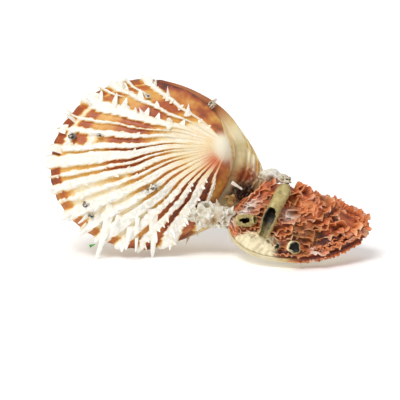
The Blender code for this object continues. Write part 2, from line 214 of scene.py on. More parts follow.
# Frills of the jewel-box shell: thin brittle leaves of matt salmon, painted darker towards their feet as
# painted shade and paler towards their free edges as painted highlight.
FRILL_SHELL = shell_finish(
    "frilled leaf shell", (
        (0.0, "#521604"), (0.2, "#9c4116"), (0.44, "#d4723a"), (0.66, "#e69058"),
        (0.86, "#f2b381"), (1.0, "#f8d6b2"),
    ), 3.5, 0.6, 0.7, 0.15, (0.45, 0.7), (("cream", "#f3e6bf"), ("pale", "#f3e9de"), ("grime", "#86683a")),
    None, 0.16,
)
# Its smooth valve has the hard sheen of porcelain, with fine tan growth lines.
PORCELAIN_SHELL = shell_finish(
    "porcelain shell", (
        (0.0, "#fbf3db"), (0.3, "#f2e4bd"), (0.55, "#d9bb7c"), (0.75, "#b8834a"),
        (0.9, "#a34c2b"), (1.0, "#6d2714"),
    ), 5.0, 0.22, 0.6, 0.06, (0.2, 0.4), (("grime", "#8a7a4c"),), (1.8, 0.05), 0.05,
)
# Worm tubes are lime laid down in rings: dull olive-tan outside; inside they are painted dark as painted
# shade.
WORM_TUBE = shell_finish(
    "worm tube lime", (
        (0.0, "#120b07"), (0.2, "#3a2d1b"), (0.42, "#857446"), (0.62, "#b09d60"),
        (0.85, "#cbbb84"), (1.0, "#e2d8b0"),
    ), 1.7, 0.8, 0.5, 0.18, (0.42, 0.7), (("pale", "#efe0b4"),), None, 0.12,
)
# Crust is rough coralline lime, grey-white with tan and dark pores.
CORAL_CRUST = shell_finish(
    "coralline crust", (
        (0.0, "#2f251a"), (0.16, "#a08f6e"), (0.42, "#d3cab2"), (0.68, "#e9e5d9"), (1.0, "#f8f6ef"),
    ), 2.2, 0.6, 0.5, 0.35, (0.6, 0.85), (("grime", "#b98f5a"),), None, 0.16,
)
# Barnacle plates: chalky grey; inside the mouth they are painted nearly black as painted shade.
BARNACLE_PLATE = shell_finish(
    "barnacle plate", ((0.0, "#15110d"), (0.3, "#5d554a"), (0.6, "#b3aa9b"), (1.0, "#ddd6c8")),
    1.2, 0.35, 0.35, 0.15, (0.55, 0.8), mottle=0.15,
)
# A splinter of broken shell, fresh white on its faces and tan at its edges.
SPLINTER = shell_finish(
    "broken shell", ((0.0, "#a58a5c"), (0.3, "#ded0ae"), (0.6, "#f4efe2"), (1.0, "#fffdf7")),
    1.6, 0.5, 0.4, 0.1, (0.4, 0.6),
)
# A crumb of sandy lime, rubbed dull and pitted where grains have dropped out.
CRUMB = shell_finish(
    "sandy lime crumb", ((0.0, "#4f3c20"), (0.35, "#94743f"), (0.65, "#c39f62"), (1.0, "#e0c793")),
    2.0, 0.8, 0.5, 0.3, (0.6, 0.85), mottle=0.15,
)
# A dried scrap of green weed.
WEED = shell_finish(
    "dried weed", ((0.0, "#2f7d2c"), (1.0, "#63b552")), 1.0, 0.5, 0.3, 0.05, (0.5, 0.7)
)

# ---- the shells' own shapes ----

FAN_LENGTH, FAN_WIDTH, FAN_BEAK_INSET, FAN_BEAK_HEIGHT = 79.4, 71.4, 2.6, 7.4
FAN_BULGE, FAN_EDGE, RIB_RISE, RIB_PAST_MARGIN, GAP = 24.0, 1.3, 1.1, 2.2, 0.3
BACK_APEX, BACK_BULGE, BACK_SWELL, BACK_RIM_EXTRA = Vector((-11.5, 18.0, -9.0)), 31.0, 11.0, 0.9
HOST_LENGTH, HOST_WIDTH = 58.5, 47.0
# The host's right rear margin is drawn in: by what share, and where round it, in degrees.
REAR_PINCH, REAR_PINCH_AT, REAR_PINCH_WIDTH = 0.3, 34.0, 26.0
VALVE_WALL = 2.4  # how thick the valves are at their margins
HOST_DOME_APEX, HOST_DOME_BULGE = Vector((-14.0, 6.0, 17.5)), 16.0
HOST_KEEL_APEX, HOST_KEEL_BULGE = Vector((2.0, -9.0, -10.2)), 12.0


def frame_at(origin, lean, turn, roll, base):
    """A placing matrix: the base axes rolled, leaned back, turned, then moved."""
    turned = (
        Matrix.Rotation(math.radians(turn), 4, "Z")
        @ Matrix.Rotation(math.radians(-lean), 4, "X")
        @ Matrix.Rotation(math.radians(-roll), 4, "Y")
    )
    return Matrix.Translation(Vector(origin) + REST_SHIFT) @ turned @ base.to_4x4()


FAN = frame_at((9.0, 20.0, 45.0), 15.0, 4.0, 9.7, Matrix(((-1, 0, 0), (0, 0, -1), (0, -1, 0))))
HOST = frame_at((39.2, 5.0, 14.4), -24.0, 0.0, 1.0, Matrix.Identity(3))


def smooth(low, high, value):
    """0 below low, 1 above high, eased between."""
    t = max(0.0, min(1.0, (value - low) / (high - low)))
    return t * t * (3 - 2 * t)


def wave(x, y, z=0.0):
    return noise.noise(Vector((x, y, z)))


def fan_rim(alpha, extra=0.0):
    along = FAN_LENGTH / 2 + extra
    across = FAN_WIDTH / 2 + extra
    middle = FAN_LENGTH / 2 - FAN_BEAK_INSET
    drawn_in = 1 - 0.05 * math.exp(-(((math.degrees(alpha) - 138.0) / 24.0) ** 2))
    flat = Vector((along * math.cos(alpha), across * math.sin(alpha), 0.0)) * drawn_in
    return flat + Vector((middle, 0.0, 0.0))


def back_rim(alpha, extra=0.0):
    off = (180.0 - abs(math.degrees(alpha))) / 34.0
    tucked = 0.9 * (1 - smooth(50.0, 85.0, abs(math.degrees(alpha))))  # under the far margin of the fan
    return fan_rim(alpha, BACK_RIM_EXTRA + 5.0 * math.exp(-off * off) - tucked + extra)


def domed(apex, far, r, bulge, edge):
    reach = (far.xy - apex.xy).length / FAN_LENGTH
    flat = apex.xy.lerp(far.xy, r)
    rise = abs(apex.z) * (1 - r) + edge + bulge * reach * r**0.6 * (1 - r) ** 0.75
    return Vector((flat.x, flat.y, rise))


# How dark a groove is from the beak (0) to the margin (1): 0 white, 0.45 ochre, 0.75 rust.
DEEP = (
    (0.1, 0.3), (0.18, 0.72), (0.34, 0.74), (0.5, 0.68), (0.62, 0.64), (0.78, 0.66), (0.88, 0.8),
    (1.0, 0.95),
)
GOLD = (
    (0.2, 0.15), (0.33, 0.2), (0.38, 0.5), (0.48, 0.52), (0.53, 0.76), (0.68, 0.74), (0.72, 0.52),
    (0.84, 0.46), (0.88, 0.68), (0.92, 0.7), (0.94, 0.4), (0.96, 0.78), (1.0, 0.72),
)
BANDED = (
    (0.25, 0.1), (0.4, 0.32), (0.48, 0.52), (0.52, 0.78), (0.68, 0.74), (0.71, 0.56), (0.78, 0.48),
    (0.83, 0.5), (0.85, 0.76), (0.91, 0.74), (0.925, 0.22), (0.94, 0.28), (0.955, 0.8), (1.0, 0.74),
)
GAPPED = (
    (0.3, 0.1), (0.4, 0.3), (0.48, 0.55), (0.53, 0.78), (0.68, 0.78), (0.71, 0.58), (0.76, 0.5),
    (0.79, 0.15), (0.82, 0.2), (0.83, 0.74), (0.9, 0.72), (0.91, 0.08), (0.945, 0.08), (0.955, 0.78),
    (1.0, 0.74),
)
THREAD = (
    (0.22, 0.15), (0.35, 0.48), (0.45, 0.6), (0.5, 0.82), (0.66, 0.76), (0.72, 0.48), (0.92, 0.44),
    (0.945, 0.5), (0.955, 0.78), (1.0, 0.78),
)
FADED = (
    (0.2, 0.2), (0.33, 0.5), (0.48, 0.58), (0.56, 0.62), (0.6, 0.26), (0.64, 0.5), (0.72, 0.38),
    (0.8, 0.2), (0.9, 0.3), (0.93, 0.5), (0.955, 0.7), (1.0, 0.6),
)
WORN = (
    (0.18, 0.3), (0.3, 0.6), (0.45, 0.58), (0.5, 0.4), (0.54, 0.56), (0.62, 0.44), (0.68, 0.22),
    (0.78, 0.3), (0.86, 0.2), (0.93, 0.25), (0.955, 0.62), (1.0, 0.64),
)
RUSTY = ((0.12, 0.35), (0.25, 0.66), (0.4, 0.82), (0.62, 0.84), (0.75, 0.72), (0.86, 0.5), (1.0, 0.74))
MAROON = ((0.08, 0.3), (0.15, 0.62), (0.24, 0.84), (0.4, 0.92), (0.7, 0.92), (0.85, 0.74), (1.0, 0.8))
UNDERSIDE = ((0.1, 0.4), (0.2, 0.7), (0.4, 0.72), (0.6, 0.55), (0.8, 0.5), (1.0, 0.62))

# Grooves between the ribs: angle round the fan, half width in degrees, banding.
GROOVES = (
    (-138, 33.0, DEEP), (-91, 7.4, GOLD), (-72, 6.2, GOLD), (-51.5, 4.0, BANDED), (-42, 3.4, BANDED),
    (-29.5, 3.9, GAPPED), (-19, 1.4, THREAD), (-6, 1.9, THREAD), (1, 1.9, THREAD), (12, 2.3, FADED),
    (20, 2.2, WORN), (34, 2.5, WORN), (46, 2.2, WORN), (60, 2.0, WORN), (72, 2.5, RUSTY),
    (85, 3.3, MAROON), (108, 6.2, MAROON), (147, 25.0, UNDERSIDE),
)
# Thin riblets that start part of the way out inside a wide groove.
RIBLETS = ((-89, 1.3, 0.76), (-74.5, 1.2, 0.86), (-46.8, 0.9, 0.62))


def banding(bands, r):
    if r <= bands[0][0]:
        return bands[0][1]
    for (r0, t0), (r1, t1) in zip(bands, bands[1:]):
        if r <= r1:
            return t0 + (t1 - t0) * (r - r0) / (r1 - r0)
    return bands[-1][1]


@functools.lru_cache(maxsize=None)
def fan_pattern(alpha, r):
    """How far a place is down in a groove (0 on a rib), and the groove's tone there."""
    angle = math.degrees(alpha)
    angle += 9.0 * smooth(0.0, 1.0, (0.56 - r) / 0.26) + 1.7 * wave(r * 8, angle / 14)
    angle += (0.9 * wave(r * 26, angle / 3.5) + 0.5 * wave(r * 60, angle / 2, 4.0)) * smooth(0.2, 0.45, r)
    down, tone = 0.0, 0.0
    for middle, half, bands in GROOVES:
        # The scales of the ribs lap over the grooves' edges one after another.
        lap = (r * 19 + 4 * wave(middle, 5.0)) % 1.0 - 0.5
        if half < 5.0:
            half *= 0.92 + 0.4 * smooth(0.93, 0.955, r) + 0.35 * wave(r * 11, middle) - 0.3 * lap
        elif half < 9.0:
            half -= 1.2 * lap
        off, soft = abs(angle - middle), min(0.32 * half, 1.7)
        if off < half + soft:
            mask = 1 - smooth(half - soft, half + soft, off)
            if mask > down:
                down, tone = mask, banding(bands, r + 0.012 * wave(angle / 2, r * 20))
    for middle, half, start in RIBLETS:
        off = abs(angle - middle) / half
        down *= 1 - (1 - smooth(0.5, 1.2, off)) * smooth(start - 0.04, start + 0.04, r)
    if abs(angle) < 66:  # the grooves fade out towards the beak
        tone = 0.22 + (tone - 0.22) * smooth(0.14, 0.36, r)
    return down * smooth(3.0, 6.5, r * fan_rim(alpha).length), tone


def rib_end(alpha, rib):
    """How far the ribs stand out past the margin; less beside the hinge."""
    return (RIB_PAST_MARGIN - 1.3 * smooth(110.0, 145.0, abs(math.degrees(alpha)))) * rib - 0.25


def fan_surface(alpha, r, down):
    rib = 1 - down
    far = fan_rim(alpha, rib_end(alpha, rib) * smooth(0.93, 1.0, r))
    point = domed(Vector((0.0, 0.0, FAN_BEAK_HEIGHT)), far, r, FAN_BULGE, FAN_EDGE)
    out = r * far.xy.length
    step = (out / 3.4 + 3.1 * wave(math.degrees(alpha) / 11, 5.0)) % 1.0
    grown = smooth(0.12, 0.45, r)
    point.z += RIB_RISE * rib * grown + 0.75 * step * rib * smooth(0.3, 0.5, r)
    point.z += 0.3 * wave(point.x / 5, point.y / 5) * grown - 0.15 * down
    point.z += 0.9 * near(point, 1.5, 0.0, 4.5)
    return point


def fan_inside(alpha, r):
    far = fan_rim(alpha, -VALVE_WALL)
    point = domed(Vector((7.0, 0.0, 5.0)), far, r, FAN_BULGE * 0.72, 0.0)
    point.z += GAP / 2
    return point


def back_pattern(alpha, r):
    """Ribs all round but on the attachment beside the hinge, which is smooth and streaked."""
    angle = math.degrees(alpha)
    attached = smooth(112.0, 132.0, abs(angle)) * (1 - 0.5 * smooth(0.0, 1.0, (0.2 - r) / 0.2))
    rib = 0.5 + 0.5 * math.cos(math.radians(angle * 26 + 40 * wave(r * 5, angle / 20)))
    return attached, rib


def hinge_side(alpha):
    return smooth(105.0, 135.0, abs(math.degrees(alpha)))


def back_surface(alpha, r):
    attached, rib = back_pattern(alpha, r)
    far = back_rim(alpha, 0.7 * (rib - 0.4) * smooth(0.93, 1.0, r) * (1 - attached))
    point = domed(BACK_APEX, far, r, BACK_BULGE, FAN_EDGE)
    swell = BACK_SWELL * math.sqrt(r) * (1 - r)
    point.x += swell * math.cos(alpha)
    point.y += swell * math.sin(alpha)
    ridged = max(0.0, min(1.0, r * 2.0 - 0.7))
    point.z += 1.0 * rib * ridged * (1 - attached) + 0.5 * wave(point.x / 6, point.y / 6, 3.0)
    folds = wave(math.degrees(alpha) / 5, r * 3, 9.0)
    point.z += attached * (0.6 * folds + 0.35 * math.sin(r * 40 + 3 * folds)) * smooth(0.1, 0.4, r) * (
        1 - smooth(0.9, 1.0, r)
    )
    point.z += 1.6 * hinge_side(alpha) * smooth(0.86, 1.0, r)
    point.z *= -1
    return point


def back_inside(alpha, r):
    far = fan_rim(alpha, -VALVE_WALL)
    point = domed(Vector((8.0, 3.0, 5.0)), far, r, BACK_BULGE * 1.12, 0.0)
    point.z = -point.z - GAP / 2
    return point


def host_rim(theta, extra=0.0):
    along = (HOST_LENGTH / 2 + extra) * math.cos(theta)
    across = (HOST_WIDTH / 2 + extra) * math.sin(theta)
    narrowing = 0.10 if theta < 0 else 0.22
    off = (math.degrees(theta) - REAR_PINCH_AT) / REAR_PINCH_WIDTH
    pinched = 1 - REAR_PINCH * math.exp(-(off**2)) * (theta > 0) * smooth(0.0, 0.25, theta)
    return Vector((along, across * (1 - narrowing * math.cos(theta)) * pinched, 0.0))


def host_domed(theta, r, apex, bulge, edge, extra):
    far = host_rim(theta, extra)
    reach = (far.xy - apex.xy).length / HOST_LENGTH
    flat = apex.xy.lerp(far.xy, r)
    rise = abs(apex.z) * (1 - r) + edge + bulge * reach * r**0.8 * (1 - r) ** 0.7
    return Vector((flat.x, flat.y, rise))


def near(point, x, y, wide, tall=None):
    """1 at (x, y) of a shell's own plane, falling off over the given widths."""
    tall = tall or wide
    return math.exp(-(((point.x - x) / wide) ** 2) - ((point.y - y) / tall) ** 2)


def bare(point):
    """1 on the smooth cream corner of the frilled valve, 0 elsewhere."""
    edge = point.y + 9.6 + 0.42 * (point.x + 26.0) + 0.9 * wave(point.x / 2.5, point.y / 2.5, 4.0)
    frayed = point.x + 2.6 * wave(point.y / 1.9, point.x / 3, 7.0)
    return smooth(1.3, -1.8, edge) * smooth(-8.2, -11.6, frayed) if point.x < -6.5 else 0.0


def sunk(point, r):
    """The frills stand on a wall that lies lower than their edges."""
    behind = smooth(-2.0, 8.0, point.y + 0.35 * point.x)
    right = smooth(13.0, 21.0, point.x) * smooth(-14.0, -3.0, point.y)
    drop = 1.7 + 1.3 * behind + 4.4 * right + 2.4 * near(point, 8.8, 6.0, 2.4, 4.5)
    point.z -= drop * (1 - bare(point)) * (1 - smooth(0.84, 1.0, r)) * smooth(0.0, 0.3, r)
    return point


def host_surface(theta, r):
    point = sunk(host_domed(theta, r, HOST_DOME_APEX, HOST_DOME_BULGE, 1.2, 0.0), r)
    rough = (1 - bare(point)) * (1 - smooth(0.95, 1.0, r))
    point.z += rough * (0.5 * wave(point.x / 2.2, point.y / 2.2) + 0.35 * wave(point.x, point.y))
    return point


def host_inside(theta, r):
    apex = Vector((-6.0, 3.0, 10.0))
    point = host_domed(theta, r, apex, HOST_DOME_BULGE * 0.62, 0.0, -VALVE_WALL)
    point.z += GAP / 2
    return point


def keel_surface(theta, r):
    point = host_domed(theta, r, HOST_KEEL_APEX, HOST_KEEL_BULGE, 1.2, 0.6)
    right = smooth(-115.0, -80.0, math.degrees(theta)) * smooth(0.55, 0.9, r) * (1 - smooth(0.97, 1.0, r))
    point.z += right * (0.45 * math.sin(r * 52 + 2 * wave(theta * 9, r * 6)) + 0.4 * wave(theta * 14, r * 9))
    point.z *= -1
    return point


def keel_inside(theta, r):
    apex = Vector((0.0, -2.0, 2.6))
    point = host_domed(theta, r, apex, HOST_KEEL_BULGE * 0.7, 0.0, -VALVE_WALL)
    point.z = -point.z - GAP / 2
    return point


def with_z(point, z):
    point.z = z
    return point


# ---- making pieces ----


def fresh():
    """Nothing selected, so that an operator acts on the next new piece only."""
    bpy.ops.object.select_all(action="DESELECT")


def paint(piece, **traits):
    for trait, values in traits.items():
        layer = piece.data.attributes.new(trait, "FLOAT", "POINT")
        layer.data.foreach_set("value", np.asarray(values, np.float32))


def settle(piece, name, look, replaced=(), angle=None):
    """Name a finished piece, give it its finish, and tie it to the model."""
    piece.name = piece.data.name = name
    piece.data.materials.clear()
    piece.data.materials.append(look)
    fresh()
    piece.select_set(True)
    bpy.context.view_layer.objects.active = piece
    bpy.ops.object.shade_smooth()
    if angle:
        bpy.ops.object.shade_smooth_by_angle(angle=math.radians(angle))
    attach(piece, "root")
    if replaced:
        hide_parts(*replaced)
    fresh()
    return piece


def outward_normals(piece):
    fresh()
    piece.select_set(True)
    bpy.context.view_layer.objects.active = piece
    bpy.ops.object.mode_set(mode="EDIT")
    bpy.ops.mesh.select_all(action="SELECT")
    bpy.ops.mesh.normals_make_consistent(inside=False)
    bpy.ops.object.mode_set(mode="OBJECT")


def draw_valve(around, outer, inner, outside, edge, inside, place, marks):
    """A thick valve, from a ball drawn out: its poles are the outside's and the inside's apex.

    marks gives the traits of a place on it: (angle, share of the way out, on the outside).
    """
    fresh()
    rings = outer + 2 + inner
    bpy.ops.mesh.primitive_uv_sphere_add(segments=around, ring_count=rings, radius=1.0)
    piece = bpy.context.object
    traits = {}
    for vert in piece.data.vertices:
        ring = round(math.acos(max(-1.0, min(1.0, vert.co.z))) / math.pi * rings)
        angle = math.atan2(vert.co.y, vert.co.x)
        if ring <= outer:
            r = ring / outer
            point = outside(angle, r)
        elif ring <= outer + 2:
            r = 1.0
            point = edge(angle, 0.0 if ring == outer + 1 else VALVE_WALL)
        else:
            r = (rings - ring) / inner
            point = inside(angle, r)
        for trait, value in marks(angle, r, ring <= outer + 2, point).items():
            traits.setdefault(trait, []).append(value)
        vert.co = (place @ point) * MM
    paint(piece, **traits)
    outward_normals(piece)
    return piece


def fan_marks(angle, r, outside, point):
    down, tone = fan_pattern(angle, r)
    apart = math.hypot(point.x - 1.5, point.y)
    patch = math.hypot((point.x - 36.2) / 3.4, (point.y - 11.8) / 1.5) if outside else 9.0
    knob = math.exp(-(math.hypot((point.x - 2.4) / 4.6, point.y / 6.4) ** 6)) * smooth(-1.6, -0.2, point.x)
    dirt = 1.5 * math.exp(-(patch**2)) * (0.6 + 1.8 * wave(point.x / 1.2, point.y * 1.3))
    white_rib = 0.04 + 0.2 * (1 - smooth(0.24, 0.52, r)) + 0.05 * wave(point.x / 3, point.y / 3)
    if point.x < 0.5:  # the lip over the hinge takes the other valve's colour
        down, tone = 1.0, 0.36
    elif abs(math.degrees(angle)) > 105:  # the broad bare sides are clouded
        tone += 0.28 * wave(point.x / 5, point.y / 5, 6.0) + 0.12 * wave(point.x / 1.8, point.y / 1.8)
    tone = white_rib + (tone - white_rib) * down
    # Creamier patches on the ribs: painted shade standing in for the shading in their hollows.
    hollow = smooth(0.3, 0.6, r) * (1 - down) * smooth(0.1, 0.6, wave(point.x / 1.6, point.y / 1.6, 3.0))
    tone += 0.2 * hollow * (1.0 if math.degrees(angle) > 5 else 0.5)
    lower = smooth(20.0, 50.0, math.degrees(angle)) * smooth(0.5, 0.65, r)
    return {
        "tone": tone if outside else 0.12 + 0.4 * smooth(0.85, 1.0, r),
        "growth": r * 70.0,
        "peach": 0.6 * math.exp(-((apart / 16.0) ** 2)) * (1 - 0.85 * down * smooth(0.1, 0.2, r)),
        "knob": knob,
        "blush": 0.95 * near(point, 7.0, 5.0, 5.0, 3.6) * (1 - 0.7 * knob),
        "grime": max(0.0, min(1.0, dirt)) + 0.05 * lower * down,
    }


def fan_outer(angle, r):
    return fan_surface(angle, r, fan_pattern(angle, r)[0])


upper = draw_valve(
    560, 108, 8, fan_outer,
    lambda a, inset: with_z(
        fan_rim(a, rib_end(a, 1 - fan_pattern(a, 1.0)[0]) * (inset == 0.0) - inset), GAP / 2
    ),
    fan_inside, FAN, fan_marks,
)
settle(upper, "upper_valve_ribbed", RIBBED_CALCITE, ("upper_valve",))


def back_marks(angle, r, outside, point):
    attached, rib = back_pattern(angle, r)
    degrees = math.degrees(angle)
    streaks = 0.37 + 0.45 * wave(degrees / 26, r * 6, 2.0) + 0.4 * wave(degrees / 12, r * 22, 7.0)
    # painted shade along the ledge beside the other valve's margin
    ledge_shade = attached * smooth(-0.9, -0.3, point.z)
    ribbed = 0.25 + (0.6 - 0.5 * rib) * (0.75 + 0.5 * wave(r * 9, degrees / 9)) + 0.2 * smooth(0.9, 1.0, r)
    # Along the margin the colours run on from the other valve's.
    down, tone = fan_pattern(angle, 1.0)
    margin = smooth(0.9, 0.97, r) * (1 - attached)
    ribbed += (0.08 + (tone + 0.02) * down - ribbed) * margin
    return {
        "tone": (ribbed + (streaks - ribbed) * attached) if outside else 0.08,
        "growth": r * 60.0,
        # grime here is painted shade: beside the beak, in the recess below the rust stain and along the ledge
        "grime": min(
            0.9,
            attached * (0.85 * near(point, -3.7, 0.8, 3.0, 4.5) + 0.5 * near(point, -3.5, 20.0, 6.0, 5.0))
            * (0.9 + wave(point.x / 2, point.y / 2)) + 0.1 * ledge_shade,
        ),
        "rust": 0.9 * smooth(-170.0, -150.0, degrees) * smooth(-100.0, -125.0, degrees) * smooth(0.8, 0.95, r)
        + 0.95 * attached * near(point, -6.2, 13.0, 6.0, 4.2) * (1.2 + 0.8 * wave(point.x, point.y)),
        # painted shade, darker still, in the recess below the rust stain
        "shade": 1.3 * attached * near(point, -4.0, 19.5, 6.0, 4.2) * (1.0 + 0.8 * wave(point.x, point.y)),
    }


lower = draw_valve(
    448, 90, 8, back_surface,
    lambda a, inset: with_z(back_rim(a, -inset), -GAP / 2 - 1.5 * hinge_side(a) * (inset == 0.0)),
    back_inside, FAN, back_marks,
)
settle(lower, "lower_valve_streaked", STREAKED_CALCITE, ("lower_valve",))


# Hollows between the frills, worn open, and painted dark in the host's tone as painted shade: place on the
# margin's plane and width.
PITS = (
    (12.9, -17.8, 2.8), (17.6, -14.6, 2.9), (16.1, -3.1, 2.2), (9.5, -16.3, 2.0),
    (-2.3, -21.8, 2.3), (-8.1, -20.9, 1.6),
)


def host_marks(angle, r, outside, point):
    hole = min(1.0, sum(near(point, *pit) for pit in PITS))
    worn = bare(point) * smooth(-0.15, 0.45, wave(point.x / 2.6, point.y / 1.3, 12.0))
    specks = near(point, -17.6, -14.6, 4.0, 1.6) * smooth(0.12, 0.3, wave(point.x / 0.7, point.y / 0.5, 6.0))
    half_bare = 4 * bare(point) * (1 - bare(point))
    dust = 0.5 * smooth(0.0, 0.5, wave(point.x / 5, point.y / 5, 8.0)) + 0.5 * near(point, 2, -15, 6, 4)
    sand = 2.4 * near(point, -12.0, -14.5, 3.2, 4.0)
    sand *= smooth(0.02, 0.4, wave(point.x / 1.1, point.y / 1.1, 1.0))
    rough = (1 - 0.8 * bare(point) * smooth(-13.0, -16.0, point.x)) * (1 - hole)
    return {
        # the pits' tone is painted dark: painted shade in the hollows
        "tone": 0.24 + 0.3 * wave(point.x / 3, point.y / 3, 2.0) + 0.5 * near(point, 4.5, -2.5, 5.0, 3.6)
        - 1.0 * hole,
        "growth": r * 40.0,
        "grime": min(0.9, dust + sand) * rough + 0.42 * worn + 0.9 * specks + 0.45 * half_bare,
        "pale": 0.95 * near(point, -4.7, -8.4, 2.1) + 0.75 * near(point, -22.5, -1.0, 4.4, 2.6),
        "cream": bare(point),
    }


host_top = draw_valve(
    320, 96, 6, host_surface, lambda a, inset: with_z(host_rim(a, -inset), GAP / 2),
    host_inside, HOST, host_marks,
)
settle(host_top, "host_frilled_valve", FRILL_SHELL, ("host_upper_valve",))


def keel_marks(angle, r, outside, point):
    degrees = math.degrees(angle)
    red = smooth(-118.0, -78.0, degrees) * (1 - smooth(150.0, 175.0, degrees)) * smooth(0.6, 0.8, r)
    rim_line = smooth(0.94, 1.0, r)
    return {
        "tone": 0.1 + 0.25 * rim_line + 0.75 * red + 0.1 * wave(point.x / 4, point.y / 4),
        "growth": r * 40.0,
        "grime": 0.35 * rim_line * (1 - red),
    }


host_bottom = draw_valve(
    320, 64, 6, keel_surface, lambda a, inset: with_z(host_rim(a, 0.6 - inset), -GAP / 2),
    keel_inside, HOST, keel_marks,
)
settle(host_bottom, "host_smooth_valve", PORCELAIN_SHELL, ("host_lower_valve",))

# ---- spines and scales ----


def template(sides, cuts, bend):
    """The points and faces of a bar of unit length, cut across, then shaped by bend(x, y, z)."""
    fresh()
    bpy.ops.mesh.primitive_cylinder_add(
        vertices=sides, radius=1.0, depth=1.0, location=(0, 0, 0.5), end_fill_type="NGON"
    )
    piece = bpy.context.object
    bpy.ops.object.mode_set(mode="EDIT")
    for cut in cuts:
        bpy.ops.mesh.select_all(action="SELECT")
        bpy.ops.mesh.bisect(plane_co=(0, 0, cut), plane_no=(0, 0, 1))
    bpy.ops.object.mode_set(mode="OBJECT")
    bpy.ops.object.transform_apply(location=True)
    points = [bend(*vert.co) for vert in piece.data.vertices]
    faces = [tuple(face.vertices) for face in piece.data.polygons]
    bpy.data.objects.remove(piece, do_unlink=True)
    return points, faces


# A scale is a little hollow leaf, wide at its foot; a blade keeps its width nearly to its end.
SCALE = template(
    6, (0.3, 0.6, 0.85),
    lambda x, y, z: (x * (1 - z**1.2) ** 0.8 + x * 0.1, y * (1.05 - z) - 0.5 * (1 - x * x) * (1 - z), z),
)
BLADE = template(
    8, (0.2, 0.45, 0.7, 0.9),
    lambda x, y, z: (
        x * (1 - 0.66 * z**0.8) * (1 - 0.5 * smooth(0.88, 1.0, z)) + 0.1 * math.sin(7 * z) * z,
        y * (0.15 + 0.85 * smooth(0.0, 0.35, z)) * (1 - 0.4 * z) - 0.35 * (1 - x * x) * (1 - z),
        z,
    ),
)
# A thorn is round and comes to a point.
THORN = template(
    10, (0.12, 0.3, 0.5, 0.7, 0.88),
    lambda x, y, z: (x * (1 - z) ** 1.25 + 0.04 * x, y * (1.04 - z) ** 1.25, z),
)


class Planted:
    """Copies of the templates, gathered into one mesh."""

    def __init__(self):
        self.points, self.faces, self.lift = [], [], []

    def plant(self, shape, foot, tip, facing, width, thick, bow=0.0, twist=0.0):
        """Stand one copy from its foot to its tip, its flat side turned to the facing."""
        along = tip - foot
        side = along.cross(facing).normalized()
        front = side.cross(along).normalized()
        if twist:
            turn = Matrix.Rotation(twist, 3, along)
            side, front = turn @ side, turn @ front
        first = len(self.points)
        for x, y, z in shape[0]:
            bent = bow * z * (1 - z) * 4
            self.points.append((foot + along * z + side * (x * width) + front * (y * thick + bent)) * MM)
            self.lift.append(z)
        self.faces += [tuple(first + at for at in face) for face in shape[1]]

    def piece(self, name, look, tone, slot=None):
        mesh = bpy.data.meshes.new(name)
        mesh.from_pydata([tuple(point) for point in self.points], [], self.faces)
        made = bpy.data.objects.new(name, mesh)
        bpy.context.scene.collection.objects.link(made)
        paint(made, tone=[tone(lift) for lift in self.lift])
        outward_normals(made)
        return settle(made, name, look, angle=50)


def stance(surface, place, angle, r):
    """A point of a surface, its way out to the margin and its way up off the surface, in mm."""
    here = place @ surface(angle, r)
    step = 0.02
    further = place @ surface(angle, min(1.0, r + step))
    out = (further - place @ surface(angle, max(0.0, r - step))).normalized()
    across = place @ surface(angle + step, r) - place @ surface(angle - step, r)
    up = out.cross(across).normalized()
    middle = place @ Vector((25.0 if place is FAN else 0.0, 0.0, 0.0))
    if up.dot(here - middle) < 0:
        up = -up
    return here, out, up


def plain_fan(alpha, r):
    """The fan at the height of its ribs."""
    return fan_surface(alpha, r, 0.25)


# Scales on the fan's ribs: the rib's angle, where they start, spacing, length, half width, and
# how they lean: out to the margin, up off the face, and round towards the lower side.
RIB_SCALES = (
    (-100, 0.30, 0.09, 2.0, 1.5, 0.3, 0.5, -0.9), (-82, 0.64, 0.13, 3.4, 2.0, 0.7, 0.4, -0.6),
    (-64, 0.37, 0.088, 5.0, 2.3, 0.45, 0.4, -0.9), (-36, 0.55, 0.09, 1.9, 1.7, 0.8, 0.3, -0.2),
    (-24, 0.60, 0.10, 1.3, 1.1, 0.8, 0.3, 0.0), (-12.5, 0.45, 0.08, 1.8, 2.3, 0.9, 0.25, 0.0),
    (-2.5, 0.60, 0.10, 1.1, 0.8, 0.8, 0.3, 0.0), (6.5, 0.50, 0.085, 1.8, 1.8, 0.9, 0.3, 0.0),
    (16, 0.55, 0.08, 2.0, 1.3, 0.8, 0.35, 0.1), (27, 0.50, 0.07, 2.9, 1.9, 0.8, 0.4, 0.2),
    (40, 0.52, 0.07, 3.4, 2.0, 0.8, 0.45, 0.2), (53, 0.50, 0.065, 3.6, 2.1, 0.8, 0.45, 0.1),
    (66, 0.46, 0.065, 3.6, 1.9, 0.7, 0.45, 0.2), (78, 0.38, 0.058, 2.8, 1.5, 0.5, 0.4, 0.7),
    (95, 0.34, 0.06, 3.0, 1.9, 0.5, 0.4, 0.8), (119, 0.45, 0.09, 1.9, 1.2, 0.6, 0.4, 0.3),
)
scales = Planted()
for middle, start, spacing, length, width, outwards, upwards, sideways in RIB_SCALES:
    r = start
    while r < 0.985:
        angle = math.radians(middle + dice.uniform(-1.0, 1.0) - 9.0 * smooth(0.0, 1.0, (0.56 - r) / 0.26))
        here, out, up = stance(plain_fan, FAN, angle, r)
        round_it = (FAN @ plain_fan(angle + 0.02, r) - here).normalized()
        grow = (0.5 + 0.55 * r) * dice.uniform(0.7, 1.25)
        away = (out * outwards + up * upwards + round_it * sideways).normalized()
        scales.plant(
            SCALE, here - up * 0.45 - away * 0.7, here + away * length * grow, up + out * 0.3,
            width * (0.55 + 0.45 * r) * dice.uniform(0.85, 1.15), 0.6, -0.25, dice.uniform(-0.25, 0.25),
        )
        r += spacing * dice.uniform(0.8, 1.2)
